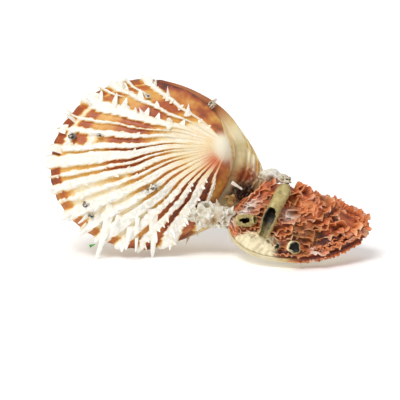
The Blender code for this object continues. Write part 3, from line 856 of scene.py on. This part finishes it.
# Each rib ends in a scale that stands out past the margin.
for middle, _, _, _, width, *_ in RIB_SCALES:
    for side in (-0.45, 0.45) if width > 1.5 else (0.0,):
        angle = math.radians(middle + side * 4.0 + dice.uniform(-0.6, 0.6))
        here, out, up = stance(plain_fan, FAN, angle, 0.97)
        reach = dice.uniform(1.8, 3.4) * (1.25 if 20 < middle < 100 else 1.0)
        scales.plant(
            SCALE, here - up * 0.5 - out * 1.2, here + (out + up * dice.uniform(0.1, 0.5)) * reach, up,
            width * 0.75, 0.5, -0.2, dice.uniform(-0.2, 0.2),
        )
scales.piece("upper_valve_scales", SPINE_CALCITE, lambda z: 0.2 + 0.6 * z, "upper_valve_shell")

# The long spines: angle, share of the way out, reach out and away, half width at the foot.
FAN_SPINES = (
    (-103, 0.92, 2.5, 2.5, 1.1), (-84, 0.95, 3.0, 4.0, 1.2), (-58, 0.93, 4.5, 3.0, 1.3),
    (-44, 0.96, 4.5, 2.5, 1.2), (-21, 0.96, 7.0, 1.5, 2.0), (26, 0.97, 5.5, 2.5, 1.4),
    (40, 0.96, 6.0, 3.0, 1.4), (61, 0.85, 9.5, 2.5, 1.5), (90, 0.83, 5.0, 2.0, 1.2),
    (116, 0.90, 3.5, 3.0, 1.1), (52, 0.93, 5.0, 2.5, 1.3), (72, 0.93, 5.5, 1.6, 1.1),
    (33, 0.93, 4.5, 2.0, 1.2), (80, 0.86, 4.5, 2.5, 1.2), (56, 0.74, 5.5, 3.0, 1.6),
    (46, 0.8, 5.0, 2.6, 1.5), (30, 0.82, 4.0, 2.4, 1.4), (97, 0.76, 3.0, 2.5, 1.8),
)
# Thorns on the uppermost ribs, standing straight up: angle, share of the way out, and reach.
THORNS = (
    (-102, 0.74, (-0.3, -0.8, 4.8)), (-101, 0.49, (0.2, -0.8, 4.5)), (-64, 0.62, (-1.6, -1.2, 3.6)),
    (-66, 0.76, (-1.0, -1.0, 2.6)), (-61, 0.42, (-1.8, -1.0, 2.2)), (-82, 0.86, (-1.6, -1.0, 1.6)),
)
FAN_FEET = ((38, 0.80, (-47.0, 2.5, 0.25)), (66, 0.70, (-23.0, 5.5, 0.25)))
BACK_SPINES = (
    (-95, 0.94, 6.0, 1.0, 1.1), (-70, 0.95, 6.5, 1.0, 1.2), (-48, 0.95, 8.0, 1.0, 1.3),
    (-18, 0.95, 7.0, 1.0, 1.2), (6, 0.95, 5.5, 2.0, 1.1), (-75, 0.62, 5.0, 5.0, 1.2),
    (-40, 0.60, 5.0, 6.0, 1.2), (-8, 0.66, 5.5, 5.0, 1.2),
)
BACK_FEET = ((20, 0.66, (-40.0, 37.0, 0.42)), (26, 0.36, (-12.0, 38.0, 0.42)))


def long_spines(grove, surface, spines, side, thin):
    middle = Vector((FAN_LENGTH / 2 - FAN_BEAK_INSET, 0.0))
    for alpha, r, out, away, width in spines:
        angle = math.radians(alpha)
        root = surface(angle, r)
        outward = (root.xy - middle).normalized()
        tip = Vector((root.x + outward.x * out, root.y + outward.y * out, root.z + side * away))
        foot = root - (tip - root).normalized() * 2.2
        up = stance(surface, FAN, angle, r)[2]
        grove.plant(BLADE, FAN @ foot - up * 0.5, FAN @ tip, up, width, thin, dice.uniform(-0.4, 0.4))


def feet(grove, surface, stands, width, thick):
    for alpha, r, stand in stands:
        here, out, up = stance(surface, FAN, math.radians(alpha), r)
        tip = Vector(stand) + REST_SHIFT
        grove.plant(BLADE, here - (tip - here).normalized() * 2.5 - up * 0.6, tip, up, width, thick, 0.6)


blades = Planted()
long_spines(blades, plain_fan, FAN_SPINES, 1, 0.6)
feet(blades, plain_fan, FAN_FEET, 2.5, 0.8)
for alpha, r, reach in THORNS:
    here, out, up = stance(plain_fan, FAN, math.radians(alpha), r)
    blades.plant(THORN, here - up * 0.6 - Vector(reach) * 0.15, here + Vector(reach), up, 1.9, 1.1)
blades.piece("upper_valve_spines", SPINE_CALCITE, lambda z: 0.25 + 0.7 * z, "upper_valve_shell")

spines = Planted()
long_spines(spines, back_surface, BACK_SPINES, -1, 0.5)
feet(spines, back_surface, BACK_FEET, 2.0, 1.2)
for ring, (r, count) in enumerate(((0.42, 7), (0.55, 12), (0.7, 16), (0.84, 20))):
    for index in range(count):
        alpha = -118 + 236 * (index + 0.5 * (ring % 2)) / count + dice.uniform(-3, 3)
        if 28 < alpha < 118 and r < 0.8:  # the host grew against this side
            continue
        here, out, up = stance(back_surface, FAN, math.radians(alpha), r)
        reach = dice.uniform(2.0, 4.2)
        tip = here + (out * dice.uniform(0.7, 1.1) + up * dice.uniform(0.5, 0.9)) * reach
        if tip.z > 1.0:
            spines.plant(SCALE, here - up * 0.7 - out * 0.5, tip, up, dice.uniform(0.8, 1.4), 0.6, -0.3)
spines.piece("lower_valve_spines", SPINE_CALCITE, lambda z: 0.35 + 0.6 * z, "lower_valve_shell")

# ---- where the worm tubes run ----


def eased(stops, count):
    """Points at even steps along a smooth curve through a few given ones."""
    stops = [Vector(stop) for stop in stops]
    ends = [stops[0] * 2 - stops[1], *stops, stops[-1] * 2 - stops[-2]]
    made = []
    for index in range(count):
        at = index / (count - 1) * (len(stops) - 1)
        k = min(int(at), len(stops) - 2)
        t = at - k
        a, b, c, d = ends[k : k + 4]
        made.append(
            0.5 * (2 * b + (c - a) * t + (2 * a - 5 * b + 4 * c - d) * t * t + (3 * b - a - 3 * c + d) * t**3)
        )
    return made


TALL_RADIUS, SIDE_RADIUS, ROUND_RADIUS, SMALL_RADIUS = 3.1, 2.5, 2.6, 1.3
SIDE_CLEARANCE = 2.1  # the frills close in over the side tube's flanks
TALL_STOPS = ((35.9, -12.4, 34.2), (32.7, -17.0, 30.0), (29.1, -21.5, 23.7), (24.7, -26.3, 14.2))
SIDE_STOPS = ((13.4, -14.2, 18.8), (17.4, -18.3, 19.2), (21.7, -20.7, 20.2))
ROUND_FOOT, ROUND_WAY = Vector((37.64, -28.1, 9.79)), Vector((0.002, -0.969, 0.245))
SMALL_FOOT, SMALL_WAY = Vector((30.79, -26.99, 9.96)), Vector((-0.1, -0.965, 0.241))
TUBE_RUNS = (
    (eased(TALL_STOPS, 24), TALL_RADIUS), (eased(SIDE_STOPS, 12), SIDE_CLEARANCE),
    ((ROUND_FOOT, ROUND_FOOT + ROUND_WAY * 3), 2.0), ((SMALL_FOOT, SMALL_FOOT + SMALL_WAY * 2), 1.0),
)

# ---- the host's frills ----

FRILL_FOCUS = Vector((-22.0, 9.0))  # the frills lie one outside another round this place
FRILL_TALL, FOLD_WIDTH, LEAF_STEP = 4.3, 3.4, 0.34
apex_angles = []
for step in range(-180, 181):
    rim_point = host_rim(math.radians(step))
    apex_angles.append(math.atan2(rim_point.y - HOST_DOME_APEX.y, rim_point.x - HOST_DOME_APEX.x))
apex_angles = np.unwrap(apex_angles)


def over_plane(x, y):
    """The smooth top of the frilled valve above a place of its margin's plane."""
    dx, dy = x - HOST_DOME_APEX.x, y - HOST_DOME_APEX.y
    bearing = math.atan2(dy, dx)
    while bearing < apex_angles[0]:
        bearing += 2 * math.pi
    while bearing > apex_angles[-1]:
        bearing -= 2 * math.pi
    theta = math.radians(float(np.interp(bearing, apex_angles, np.arange(-180, 181))))
    rim_point = host_rim(theta)
    whole = math.hypot(rim_point.x - HOST_DOME_APEX.x, rim_point.y - HOST_DOME_APEX.y)
    r = min(1.0, math.hypot(dx, dy) / whole)
    return sunk(host_domed(theta, r, HOST_DOME_APEX, HOST_DOME_BULGE, 1.2, 0.0), r)


def frill_line(s):
    """Places along one frill at even steps, and the length of the line."""
    line = [
        over_plane(*FRILL_FOCUS.lerp(host_rim(math.radians(step)).xy, s)) for step in range(-180, 181, 2)
    ]
    lengths = np.concatenate(([0.0], np.cumsum([(b - a).length for a, b in zip(line, line[1:])])))
    return np.array([tuple(point) for point in line]), lengths


def leaf(columns, place_of, traits_of):
    """One ruffled leaf: flat at its foot, folded to and fro at its free edge.

    place_of gives the leaf at a share of its length: its foot, the ways up and out, its height,
    how far its edge swings, its tilt and the phase of its folds, all in the host's own axes.
    """
    rows = 5
    fresh()
    bpy.ops.mesh.primitive_grid_add(x_subdivisions=columns, y_subdivisions=rows, size=2.0)
    piece = bpy.context.object
    known, traits = {}, {}
    for vert in piece.data.vertices:
        column, v = round((vert.co.x + 1) / 2 * columns), (vert.co.y + 1) / 2
        if column not in known:
            known[column] = place_of(column / columns)
        foot, up, out, height, swing, tilt, phase = known[column]
        tilt *= 0.5 + 0.8 * v
        swing *= (0.15 + 0.85 * v) * min(1.0, height / 1.2)
        way = up * math.cos(tilt) + out * math.sin(tilt)
        point = foot - up * 0.5 + way * (height + 0.5) * v
        point += up * 0.45 * v * math.sin(phase * 0.5) * min(1.0, height)
        point += (out * math.cos(tilt) - up * math.sin(tilt)) * swing * math.sin(phase)
        point += up.cross(out) * 0.5 * swing * math.sin(2 * phase + 0.6)
        vert.co = (HOST @ point) * MM
        for trait, value in traits_of(foot, v, phase).items():
            traits.setdefault(trait, []).append(value)
    paint(piece, **traits)
    return piece


def frill_traits(foot, v, phase):
    edge = smooth(0.75, 1.0, v)
    warm = 0.22 * wave(foot.x / 6, foot.y / 6, 3.0) + 0.14 * wave(foot.x / 1.7, foot.y / 1.7, 5.0)
    bleached = smooth(0.12, 0.5, wave(foot.x / 3.3, foot.y / 3.3, 11.0)) * smooth(0.4, 0.9, v)
    return {
        # tone: painted shade at the leaf's foot, painted highlight towards its free edge, and painted light
        # and shade on alternate folds
        "tone": 0.02 + 0.56 * v**0.8 + 0.16 * edge + 0.14 * math.sin(phase) * v + warm,
        "grime": 0.6 * smooth(0.0, 0.5, wave(foot.x / 4, foot.y / 4, 8.0)) * (1 - 0.5 * v)
        + 0.6 * near(foot, 3.0, -15.5, 8.0, 4.0) * (1 - 0.4 * v),
        "pale": min(
            1.0,
            1.5 * near(foot, -22.5, -1.0, 4.6, 2.8) * smooth(-0.2, 0.3, v)
            + 0.95 * near(foot, -4.7, -8.4, 2.0)
            + 0.25 * bleached + 0.8 * near(foot, 5.7, -21.9, 1.6) + 0.9 * near(foot, -6.0, 10.5, 3.5, 2.4),
        ),
        "cream": bare(foot),
    }


def frill(s, gap_share, lean, seed):
    """A leaf right round the host, at a share of the way out from the focus to the margin."""
    line, lengths = frill_line(s)
    total = lengths[-1]
    folds = max(3, round(total / FOLD_WIDTH))

    def place_of(u):
        x, y = (float(np.interp(u * total, lengths, line[:, axis])) for axis in range(2))
        off = 1.1 * wave(x / 4.5, y / 4.5, seed)
        away = (Vector((x, y)) - FRILL_FOCUS).normalized()
        x, y = x + away.x * off * (s < 0.93), y + away.y * off * (s < 0.93)
        foot = over_plane(x, y)
        foot.x, foot.y = x, y
        rise_x = over_plane(x + 0.4, y).z - over_plane(x - 0.4, y).z
        rise_y = over_plane(x, y + 0.4).z - over_plane(x, y - 0.4).z
        up = Vector((-rise_x, -rise_y, 0.8)).normalized()
        out = Vector((away.x, away.y, 0.0))
        out = (out - up * out.dot(up)).normalized()
        gap = (Vector((x, y)) - FRILL_FOCUS).length * gap_share
        grown = 0.62 + 0.95 * wave(x / 4.2, y / 4.2, seed * 1.7) + 0.5 * wave(x / 1.3, y / 1.3, seed)
        grown += 0.22 * smooth(0.0, 14.0, x) * smooth(-2.0, -8.0, y)
        worn = 0.8 * near(foot, 4.5, -2.5, 5.5, 3.4) + 0.85 * near(foot, 8.6, 7.5, 2.0, 5.0)
        worn += 0.7 * near(foot, 22.8, 4.0, 3.0, 6.0)
        crest = 1 + 1.0 * near(foot, 2.4, 7.0, 3.8, 5.5) + 0.7 * near(foot, 13.8, 4.5, 2.6, 4.5)
        pits = min(1.0, sum(near(foot, *pit) for pit in PITS))
        height = min(FRILL_TALL, gap * 1.35) * min(1.25, max(0.14, grown))
        height = height * (1 - min(0.95, worn)) * (1 - bare(foot))
        lower_behind = 1 - 0.45 * smooth(1.0, 7.0, y + 0.35 * x) * (1 - 0.6 * smooth(12.0, 18.0, x))
        height *= crest * (1 - pits) * lower_behind
        world_foot = HOST @ foot
        for run, radius in TUBE_RUNS:
            apart = min((world_foot - at).length for at in run)
            height *= 0.05 + 0.95 * smooth(radius * 0.8, radius * 1.3, apart)
        ease = smooth(0.0, 0.04, u) * (1 - smooth(0.96, 1.0, u))
        drift = 5.5 * wave(x / 4 + seed, y / 4) + 2.0 * wave(x / 1.6, y / 1.6, seed)
        phase = 2 * math.pi * folds * u + drift * ease
        swing = min(1.25, 0.3 * gap + 0.3) * (1.0 + 0.9 * wave(x / 2.5, y / 2.5, seed + 3))
        tilt = lean + 0.7 * wave(x / 5, y / 5, seed + 6)
        return foot, up, out, height, swing, tilt, phase

    return leaf(max(24, int(total / LEAF_STEP)), place_of, frill_traits)


def margin_frill(r, first, last, reach, seed, under):
    """A low frill along the front of one valve's margin, standing out from it."""
    surface = keel_surface if under else host_surface

    def place_of(u):
        theta = math.radians(first + (last - first) * u)
        foot = surface(theta, r)
        out = Vector((math.cos(theta), math.sin(theta), 0.0))
        up = (out * 0.85 + Vector((0.0, 0.0, -0.35 if under else 0.55))).normalized()
        side = Vector((0.0, 0.0, 1.0))
        side = (side - up * side.dot(up)).normalized()
        ends = smooth(0.0, 0.12, u) * (1 - smooth(0.9, 1.0, u))
        height = reach * ends * max(0.3, 0.8 + 0.7 * wave(theta * 6, seed) + 0.4 * wave(theta * 19, seed))
        phase = 2 * math.pi * 52 * u + 5 * wave(theta * 5, seed)
        return foot, up, side, height, 0.55, 0.35 * wave(theta * 8, seed + 2), phase

    def traits_of(foot, v, phase):
        traits = frill_traits(foot, v, phase)
        # the same painted shade at the foot, painted highlight towards the edge, and painted light and shade
        # on alternate folds
        traits["tone"] = 0.16 + 0.42 * v + 0.1 * math.sin(phase) * v
        traits["cream"] = traits["grime"] = 0.0
        return traits

    return leaf(420, place_of, traits_of)


def gather(pieces, thick):
    """Join leaves into one piece, close each ring and give it its thickness."""
    fresh()
    for piece in pieces:
        piece.select_set(True)
    bpy.context.view_layer.objects.active = pieces[0]
    bpy.ops.object.join()
    piece = bpy.context.object
    bpy.ops.object.mode_set(mode="EDIT")
    bpy.ops.mesh.select_all(action="SELECT")
    bpy.ops.mesh.remove_doubles(threshold=0.000002)
    bpy.ops.object.mode_set(mode="OBJECT")
    wall = piece.modifiers.new("wall", "SOLIDIFY")
    wall.thickness = thick * MM
    wall.offset = 0.0
    bpy.ops.object.modifier_apply(modifier=wall.name)
    return piece


FRILL_COUNT = 15
FIRST_FRILL, LAST_FRILL = 0.17, 0.985
between = (LAST_FRILL - FIRST_FRILL) / (FRILL_COUNT - 1)
leaves = [
    frill(s, between / max(s, 0.3), dice.uniform(0.15, 0.85), index + 1.0)
    for index, s in enumerate(FIRST_FRILL + between * index for index in range(FRILL_COUNT))
]
edges = [
    margin_frill(0.90, -96, 62, 0.7, 1.0, True), margin_frill(0.955, -100, 66, 0.8, 2.0, True),
    margin_frill(1.0, -98, 70, 1.1, 3.0, True), margin_frill(0.985, -92, 74, 2.2, 4.0, False),
    margin_frill(0.95, -84, 60, 2.4, 5.0, False),
]
settle(gather(leaves[:9], 0.4), "host_frills_inner", FRILL_SHELL, angle=60)
settle(gather(leaves[9:], 0.4), "host_frills_outer", FRILL_SHELL, angle=60)
settle(gather(edges, 0.35), "host_margin_frills", FRILL_SHELL, angle=60)

# ---- worm tubes ----


def worm_tube(name, node, stops, radius, wall, broken=None, drawn_in=False, pale=0.0, seed=0.0):
    """A lime tube, ringed and uneven, open at its end.

    broken is (start, end, way it faces, how narrow) of a break along one side; without one the
    tube is a cup, closed at its foot. drawn_in rounds off the start of a broken tube.
    """
    steps, around = 72, 40
    path = eased(stops, steps + 1)
    fresh()
    bpy.ops.mesh.primitive_grid_add(x_subdivisions=steps, y_subdivisions=around, size=2.0)
    piece = bpy.context.object
    ways = [(path[min(steps, i + 1)] - path[max(0, i - 1)]).normalized() for i in range(steps + 1)]
    side = ways[0].cross(Vector((0, 0, 1))).normalized()
    sides = []
    for way in ways:
        side = (side - way * side.dot(way)).normalized()
        sides.append(side)
    tones, pales, gone = [], [], []
    for vert in piece.data.vertices:
        u, v = (vert.co.x + 1) / 2, (vert.co.y + 1) / 2
        i = round(u * steps)
        turn = 2 * math.pi * v
        spoke = sides[i] * math.cos(turn) + ways[i].cross(sides[i]) * math.sin(turn)
        ring = 0.09 * math.sin(u * steps * 0.9 + 2 * wave(spoke.x, spoke.z, u * 6))
        rough = 0.24 * wave(spoke.x * 1.5 + seed, spoke.z * 1.5, u * 7) + (0.0 if broken else 0.9) * wave(
            math.cos(turn) * 0.9 + seed, math.sin(turn) * 0.9, 3.0
        )
        start = (0.08 + 0.92 * smooth(0.0, 0.2, u)) * (1 - 0.3 * smooth(0.78, 1.0, u)) if drawn_in else 1.0
        if not broken:  # closed at its foot, like a cup
            start = math.sqrt(min(1.0, u / 0.12))
        start *= 1 + 0.1 * wave(u * 3, seed)
        point = path[i] + spoke * radius * start * (1 + 0.1 * rough) + spoke * (ring + rough)
        if not broken:
            point += ways[i] * 1.3 * u * wave(math.cos(turn) * 1.2, math.sin(turn) * 1.2, seed + 2)
        vert.co = point * MM
        tones.append(0.6 + 0.1 * ring + 0.8 * rough + 0.14 * smooth(0.9, 1.0, u))
        pales.append(pale * smooth(0.3, 0.9, u) * smooth(0.3, -0.8, spoke.x))
        cut = 0.0
        if broken:
            first, last, away, wide = broken
            # The opening starts and ends as a rounded lip, and its sides are chipped.
            share = (u - first) / (last - first)
            lip = 1 - smooth(0.0, 0.22, share) * (1 - smooth(0.8, 1.0, share))
            chip = 0.03 * radius * wave(u * 22, v * 9, seed)
            facing = spoke.dot(Vector(away).normalized())
            cut = float(facing > wide + (1.02 - wide) * lip + chip * (1 - lip))
        gone.append(cut)
    paint(piece, tone=tones, pale=pales, growth=[0.0] * len(tones))
    bpy.ops.object.mode_set(mode="EDIT")
    cutter = bmesh.from_edit_mesh(piece.data)
    cutter.verts.ensure_lookup_table()
    doomed = [face for face in cutter.faces if sum(gone[vert.index] for vert in face.verts) >= 3]
    bmesh.ops.delete(cutter, geom=doomed, context="FACES")
    bmesh.update_edit_mesh(piece.data)
    bpy.ops.mesh.select_all(action="SELECT")
    bpy.ops.mesh.remove_doubles(threshold=0.00002)
    bpy.ops.mesh.normals_make_consistent(inside=False)
    bpy.ops.object.mode_set(mode="OBJECT")
    # An open tube can come out of that either way round; its faces must look away from its middle.
    centres = np.array([tuple(point) for point in path]) * MM
    away = 0.0
    for face in piece.data.polygons:
        middle = centres[((centres - np.array(face.center)) ** 2).sum(1).argmin()]
        away += float(np.dot(np.array(face.normal), np.array(face.center) - middle))
    if away < 0:
        bpy.ops.object.mode_set(mode="EDIT")
        bpy.ops.mesh.flip_normals()
        bpy.ops.object.mode_set(mode="OBJECT")
    outer = len(piece.data.vertices)
    shell = piece.modifiers.new("wall", "SOLIDIFY")
    shell.thickness = wall * MM
    shell.offset = -1.0
    bpy.ops.object.modifier_apply(modifier=shell.name)
    # The bore is painted dark as painted shade, and painted a little lighter where it is broken open to the
    # light, as painted light.
    values = np.zeros(len(piece.data.vertices), np.float32)
    piece.data.attributes["tone"].data.foreach_get("value", values)
    for vert in list(piece.data.vertices)[outer:]:
        along = np.sqrt(((centres - np.array(vert.co)) ** 2).sum(1)).argmin() / steps
        values[vert.index] = 0.03 + 0.4 * smooth(0.66, 0.95, along) * drawn_in
    piece.data.attributes["tone"].data.foreach_set("value", values)
    return settle(piece, name, WORM_TUBE, (node,), angle=45)


worm_tube(
    "worm_tube_tall_lime", "worm_tube_tall",
    TALL_STOPS,
    TALL_RADIUS, 0.7, (0.56, 1.5, (-0.35, -0.9, 0.1), 0.38), True, seed=1.0,
)
worm_tube(
    "worm_tube_side_lime", "worm_tube_side",
    SIDE_STOPS,
    SIDE_RADIUS, 0.5, (0.08, 0.93, (0.0, -1.0, 0.3), 0.72), True, seed=2.0,
)
worm_tube(
    "worm_tube_round_lime", "worm_tube_round",
    (ROUND_FOOT, ROUND_FOOT + ROUND_WAY * 1.9, ROUND_FOOT + ROUND_WAY * 3.4),
    ROUND_RADIUS, 0.7, pale=0.95, seed=3.0,
)
worm_tube(
    "worm_tube_small_lime", "worm_tube_small",
    (SMALL_FOOT, SMALL_FOOT + SMALL_WAY * 1.5, SMALL_FOOT + SMALL_WAY * 3.0),
    SMALL_RADIUS, 0.55, pale=0.8, seed=4.0,
)

# ---- barnacles ----


def barnacle(node, alpha, r, size, shade):
    """Six plates round a sunk mouth, worn and uneven; shade is how pale they are."""
    low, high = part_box(node)
    up = stance(plain_fan, FAN, math.radians(alpha), r)[2]
    centre = (low + high) / 2 / MM + up * 0.4
    fresh()
    bpy.ops.mesh.primitive_cone_add(vertices=36, radius1=1.0, radius2=0.55, depth=1.0, end_fill_type="NGON")
    piece = bpy.context.object
    bpy.ops.object.mode_set(mode="EDIT")
    bpy.ops.mesh.select_mode(type="FACE")
    shape = bmesh.from_edit_mesh(piece.data)
    for face in shape.faces:
        face.select_set(face.normal.z > 0.9)
    bmesh.update_edit_mesh(piece.data)
    bpy.ops.mesh.inset(thickness=0.12)
    bpy.ops.mesh.inset(thickness=0.06)
    bpy.ops.transform.translate(value=(0, 0, -0.55))
    bpy.ops.mesh.inset(thickness=0.15)
    bpy.ops.mesh.select_mode(type="VERT")
    bpy.ops.object.mode_set(mode="OBJECT")
    turned = up.to_track_quat("Z", "Y").to_matrix()
    tones = []
    for vert in piece.data.vertices:
        x, y, z = vert.co
        spread = math.hypot(x, y)
        turn = math.atan2(y, x)
        plates = 0.08 * abs(math.sin(3 * turn))
        plates += 0.5 * wave(math.cos(turn) * 1.4, math.sin(turn) * 1.4, alpha)
        grow = 1 + plates * (spread > 0.3)
        off = 0.22 * (spread < 0.6)
        lip = 0.35 * wave(math.cos(turn) * 2, math.sin(turn) * 2, r * 9) if z > 0.3 else 0.0
        local = Vector((x * grow + off, y * grow * 0.8 - off, (z + lip) * 0.45))
        # inside the mouth the tone is painted nearly black: painted shade
        in_mouth = spread < 0.42 and z < 0.3
        tones.append(0.0 if in_mouth else shade + 0.2 * z + 1.1 * wave(x * 2.2, y * 2.2, alpha))
        vert.co = (centre + turned @ (local * size)) * MM
    paint(piece, tone=tones)
    settle(piece, node + "_plates", BARNACLE_PLATE, (node,), angle=40)


for node, alpha, r, size, shade in (
    ("barnacle_a", -31, 0.91, 1.6, 0.25), ("barnacle_b", -33, 0.76, 1.2, 0.6),
    ("barnacle_c", 24, 0.88, 1.6, 0.3), ("barnacle_d", 34, 0.90, 1.3, 0.5),
    ("barnacle_e", -87, 0.77, 1.2, 0.85),
):
    barnacle(node, alpha, r, size, shade)

# ---- crust and crumbs ----


def roughened(node, name, look, net_size, lumps, spikes, seed):
    """A copy of a plain solid, divided finely and pushed out into lumps and points."""
    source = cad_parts[node]
    mesh = bpy.data.meshes.new(name)
    shape = bmesh.new()
    shape.from_mesh(source.data)
    bmesh.ops.remove_doubles(shape, verts=shape.verts, dist=0.000001)
    shape.to_mesh(mesh)
    shape.free()
    piece = bpy.data.objects.new(name, mesh)
    bpy.context.scene.collection.objects.link(piece)
    fresh()
    piece.select_set(True)
    bpy.context.view_layer.objects.active = piece
    net = piece.modifiers.new("even net", "REMESH")
    net.mode = "VOXEL"
    net.voxel_size = net_size * MM
    bpy.ops.object.modifier_apply(modifier=net.name)
    mesh = piece.data
    normals = [vert.normal.copy() for vert in mesh.vertices]
    tones = []
    for vert, normal in zip(mesh.vertices, normals):
        at = vert.co / MM
        big = wave(at.x / 3.2 + seed, at.y / 3.2, at.z / 3.2)
        ridge = 0.5 - abs(wave(at.x / 2.6, at.y / 2.6 + seed, at.z / 2.6)) * 2.2
        point = max(0.0, wave(at.x / 1.6, at.y / 1.6, at.z / 1.6 + seed)) ** 2
        vert.co += normal * (lumps * (big + 0.7 * ridge) + spikes * point) * MM
        tones.append(0.52 + 0.3 * big + 0.3 * ridge)
    stains = []
    for vert in mesh.vertices:
        x, y, z = vert.co
        stains.append(0.5 * smooth(0.1, 0.6, wave(x * 180, y * 180, z * 180)))
    paint(piece, tone=tones, grime=stains)
    return settle(piece, name, look, (node,))


shards = Planted()
for crust in (
    roughened("crust", "crust_rough", CORAL_CRUST, 0.3, 1.5, 1.6, 1.0),
    roughened("crust_back", "crust_back_rough", CORAL_CRUST, 0.36, 0.9, 0.8, 5.0),
):
    count = 26 if crust.name == "crust_rough" else 2
    for vert in dice.sample(list(crust.data.vertices), count):
        if vert.normal.y > 0.5:
            continue
        away = (vert.normal + Vector([dice.uniform(-0.8, 0.8) for _ in range(3)])).normalized()
        here = vert.co / MM
        face = Vector([dice.uniform(-1, 1) for _ in range(3)])
        reach = dice.uniform(0.8, 3.0)
        if (here + away * reach).z > 0.5:
            shards.plant(SCALE, here - away * 0.8, here + away * reach, face, dice.uniform(0.6, 1.5), 0.5)
shards.piece("crust_shards", SPLINTER, lambda z: 0.35 + 0.4 * z, "white_crust")
roughened("shell_chip", "shell_chip_worn", SPLINTER, 0.16, 0.08, 0.1, 2.0)
roughened("shell_crumb", "shell_crumb_worn", CRUMB, 0.2, 0.9, 1.4, 3.0)


def lime_smear(name, centre, sizes, turn):
    """A knobbly smear of the same lime, from a ball: its centre and half sizes in mm."""
    fresh()
    bpy.ops.mesh.primitive_ico_sphere_add(subdivisions=5, radius=1.0)
    smear = bpy.context.object
    lean = Matrix.Rotation(math.radians(turn), 3, "Y")
    tones = []
    for vert in smear.data.vertices:
        at = vert.co.copy()
        grow = 1 + 0.5 * wave(at.x * 1.6, at.y * 1.6, at.z * 1.6 + turn)
        grow += 0.25 * wave(at.x * 4, at.y * 4, at.z * 4)
        spread = Vector([along * size for along, size in zip(at, sizes)]) * grow
        vert.co = (centre + lean @ spread) * MM
        tones.append(0.42 + 0.9 * wave(at.x * 3, at.y * 3, at.z * 3 + 5))
    paint(smear, tone=tones, grime=[0.4 * tone for tone in tones])
    settle(smear, name, CORAL_CRUST)


HINGE_LIME = (4.6, -19.0, 1.5)  # in the fan's own axes
lime_smear("hinge_lime", FAN @ Vector(HINGE_LIME), (4.2, 1.3, 1.5), -42.0)
lime_smear("tube_top_lime", Vector((34.7, -11.4, 35.8)), (2.7, 2.0, 1.9), 20.0)

# A scrap of weed caught beside a long spine.
weed = Planted()
weed_at = Vector((-48.9, -4.5, 6.6)) + Vector((1.0, -3.5, -0.5))
weed_foot, weed_tip = weed_at - Vector((1.2, 0, 0.4)), weed_at + Vector((1.4, 0, 0.5))
weed.plant(SCALE, weed_foot, weed_tip, Vector((0, -1, 0.3)), 0.7, 0.3, 0.3)
weed.piece("weed_scrap", WEED, lambda z: z)

floor_mesh = bpy.data.meshes.new("table")
floor_mesh.from_pydata([(-6, -6, 0), (6, -6, 0), (6, 6, 0), (-6, 6, 0)], [], [(0, 1, 2, 3)])
floor = bpy.data.objects.new("table", floor_mesh)
floor.location.z = -0.0001
bpy.context.scene.collection.objects.link(floor)
# Smooth white paper, dull enough to show only a soft shadow.
paper = bpy.data.materials.new("white paper")
paper.use_nodes = True
paper_tree = paper.node_tree
fibres = add(
    paper_tree, "TexNoise", {"Vector": add(paper_tree, "TexCoord")["Object"], "Scale": 900.0}
)["Fac"]
shade = add(paper_tree, "ValToRGB", {"Fac": fibres}, stops=((0.0, "#fafafa"), (1.0, "#fefefe")))["Color"]
paper_tree.links.new(shade, paper_tree.nodes["Principled BSDF"].inputs["Base Color"])
paper_tree.nodes["Principled BSDF"].inputs["Roughness"].default_value = 0.9
# The paper is also lit a little from below, as on a light table.
paper_tree.nodes["Principled BSDF"].inputs["Emission Color"].default_value = (1.0, 1.0, 1.0, 1.0)
paper_tree.nodes["Principled BSDF"].inputs["Emission Strength"].default_value = 0.17
floor.data.materials.append(paper)
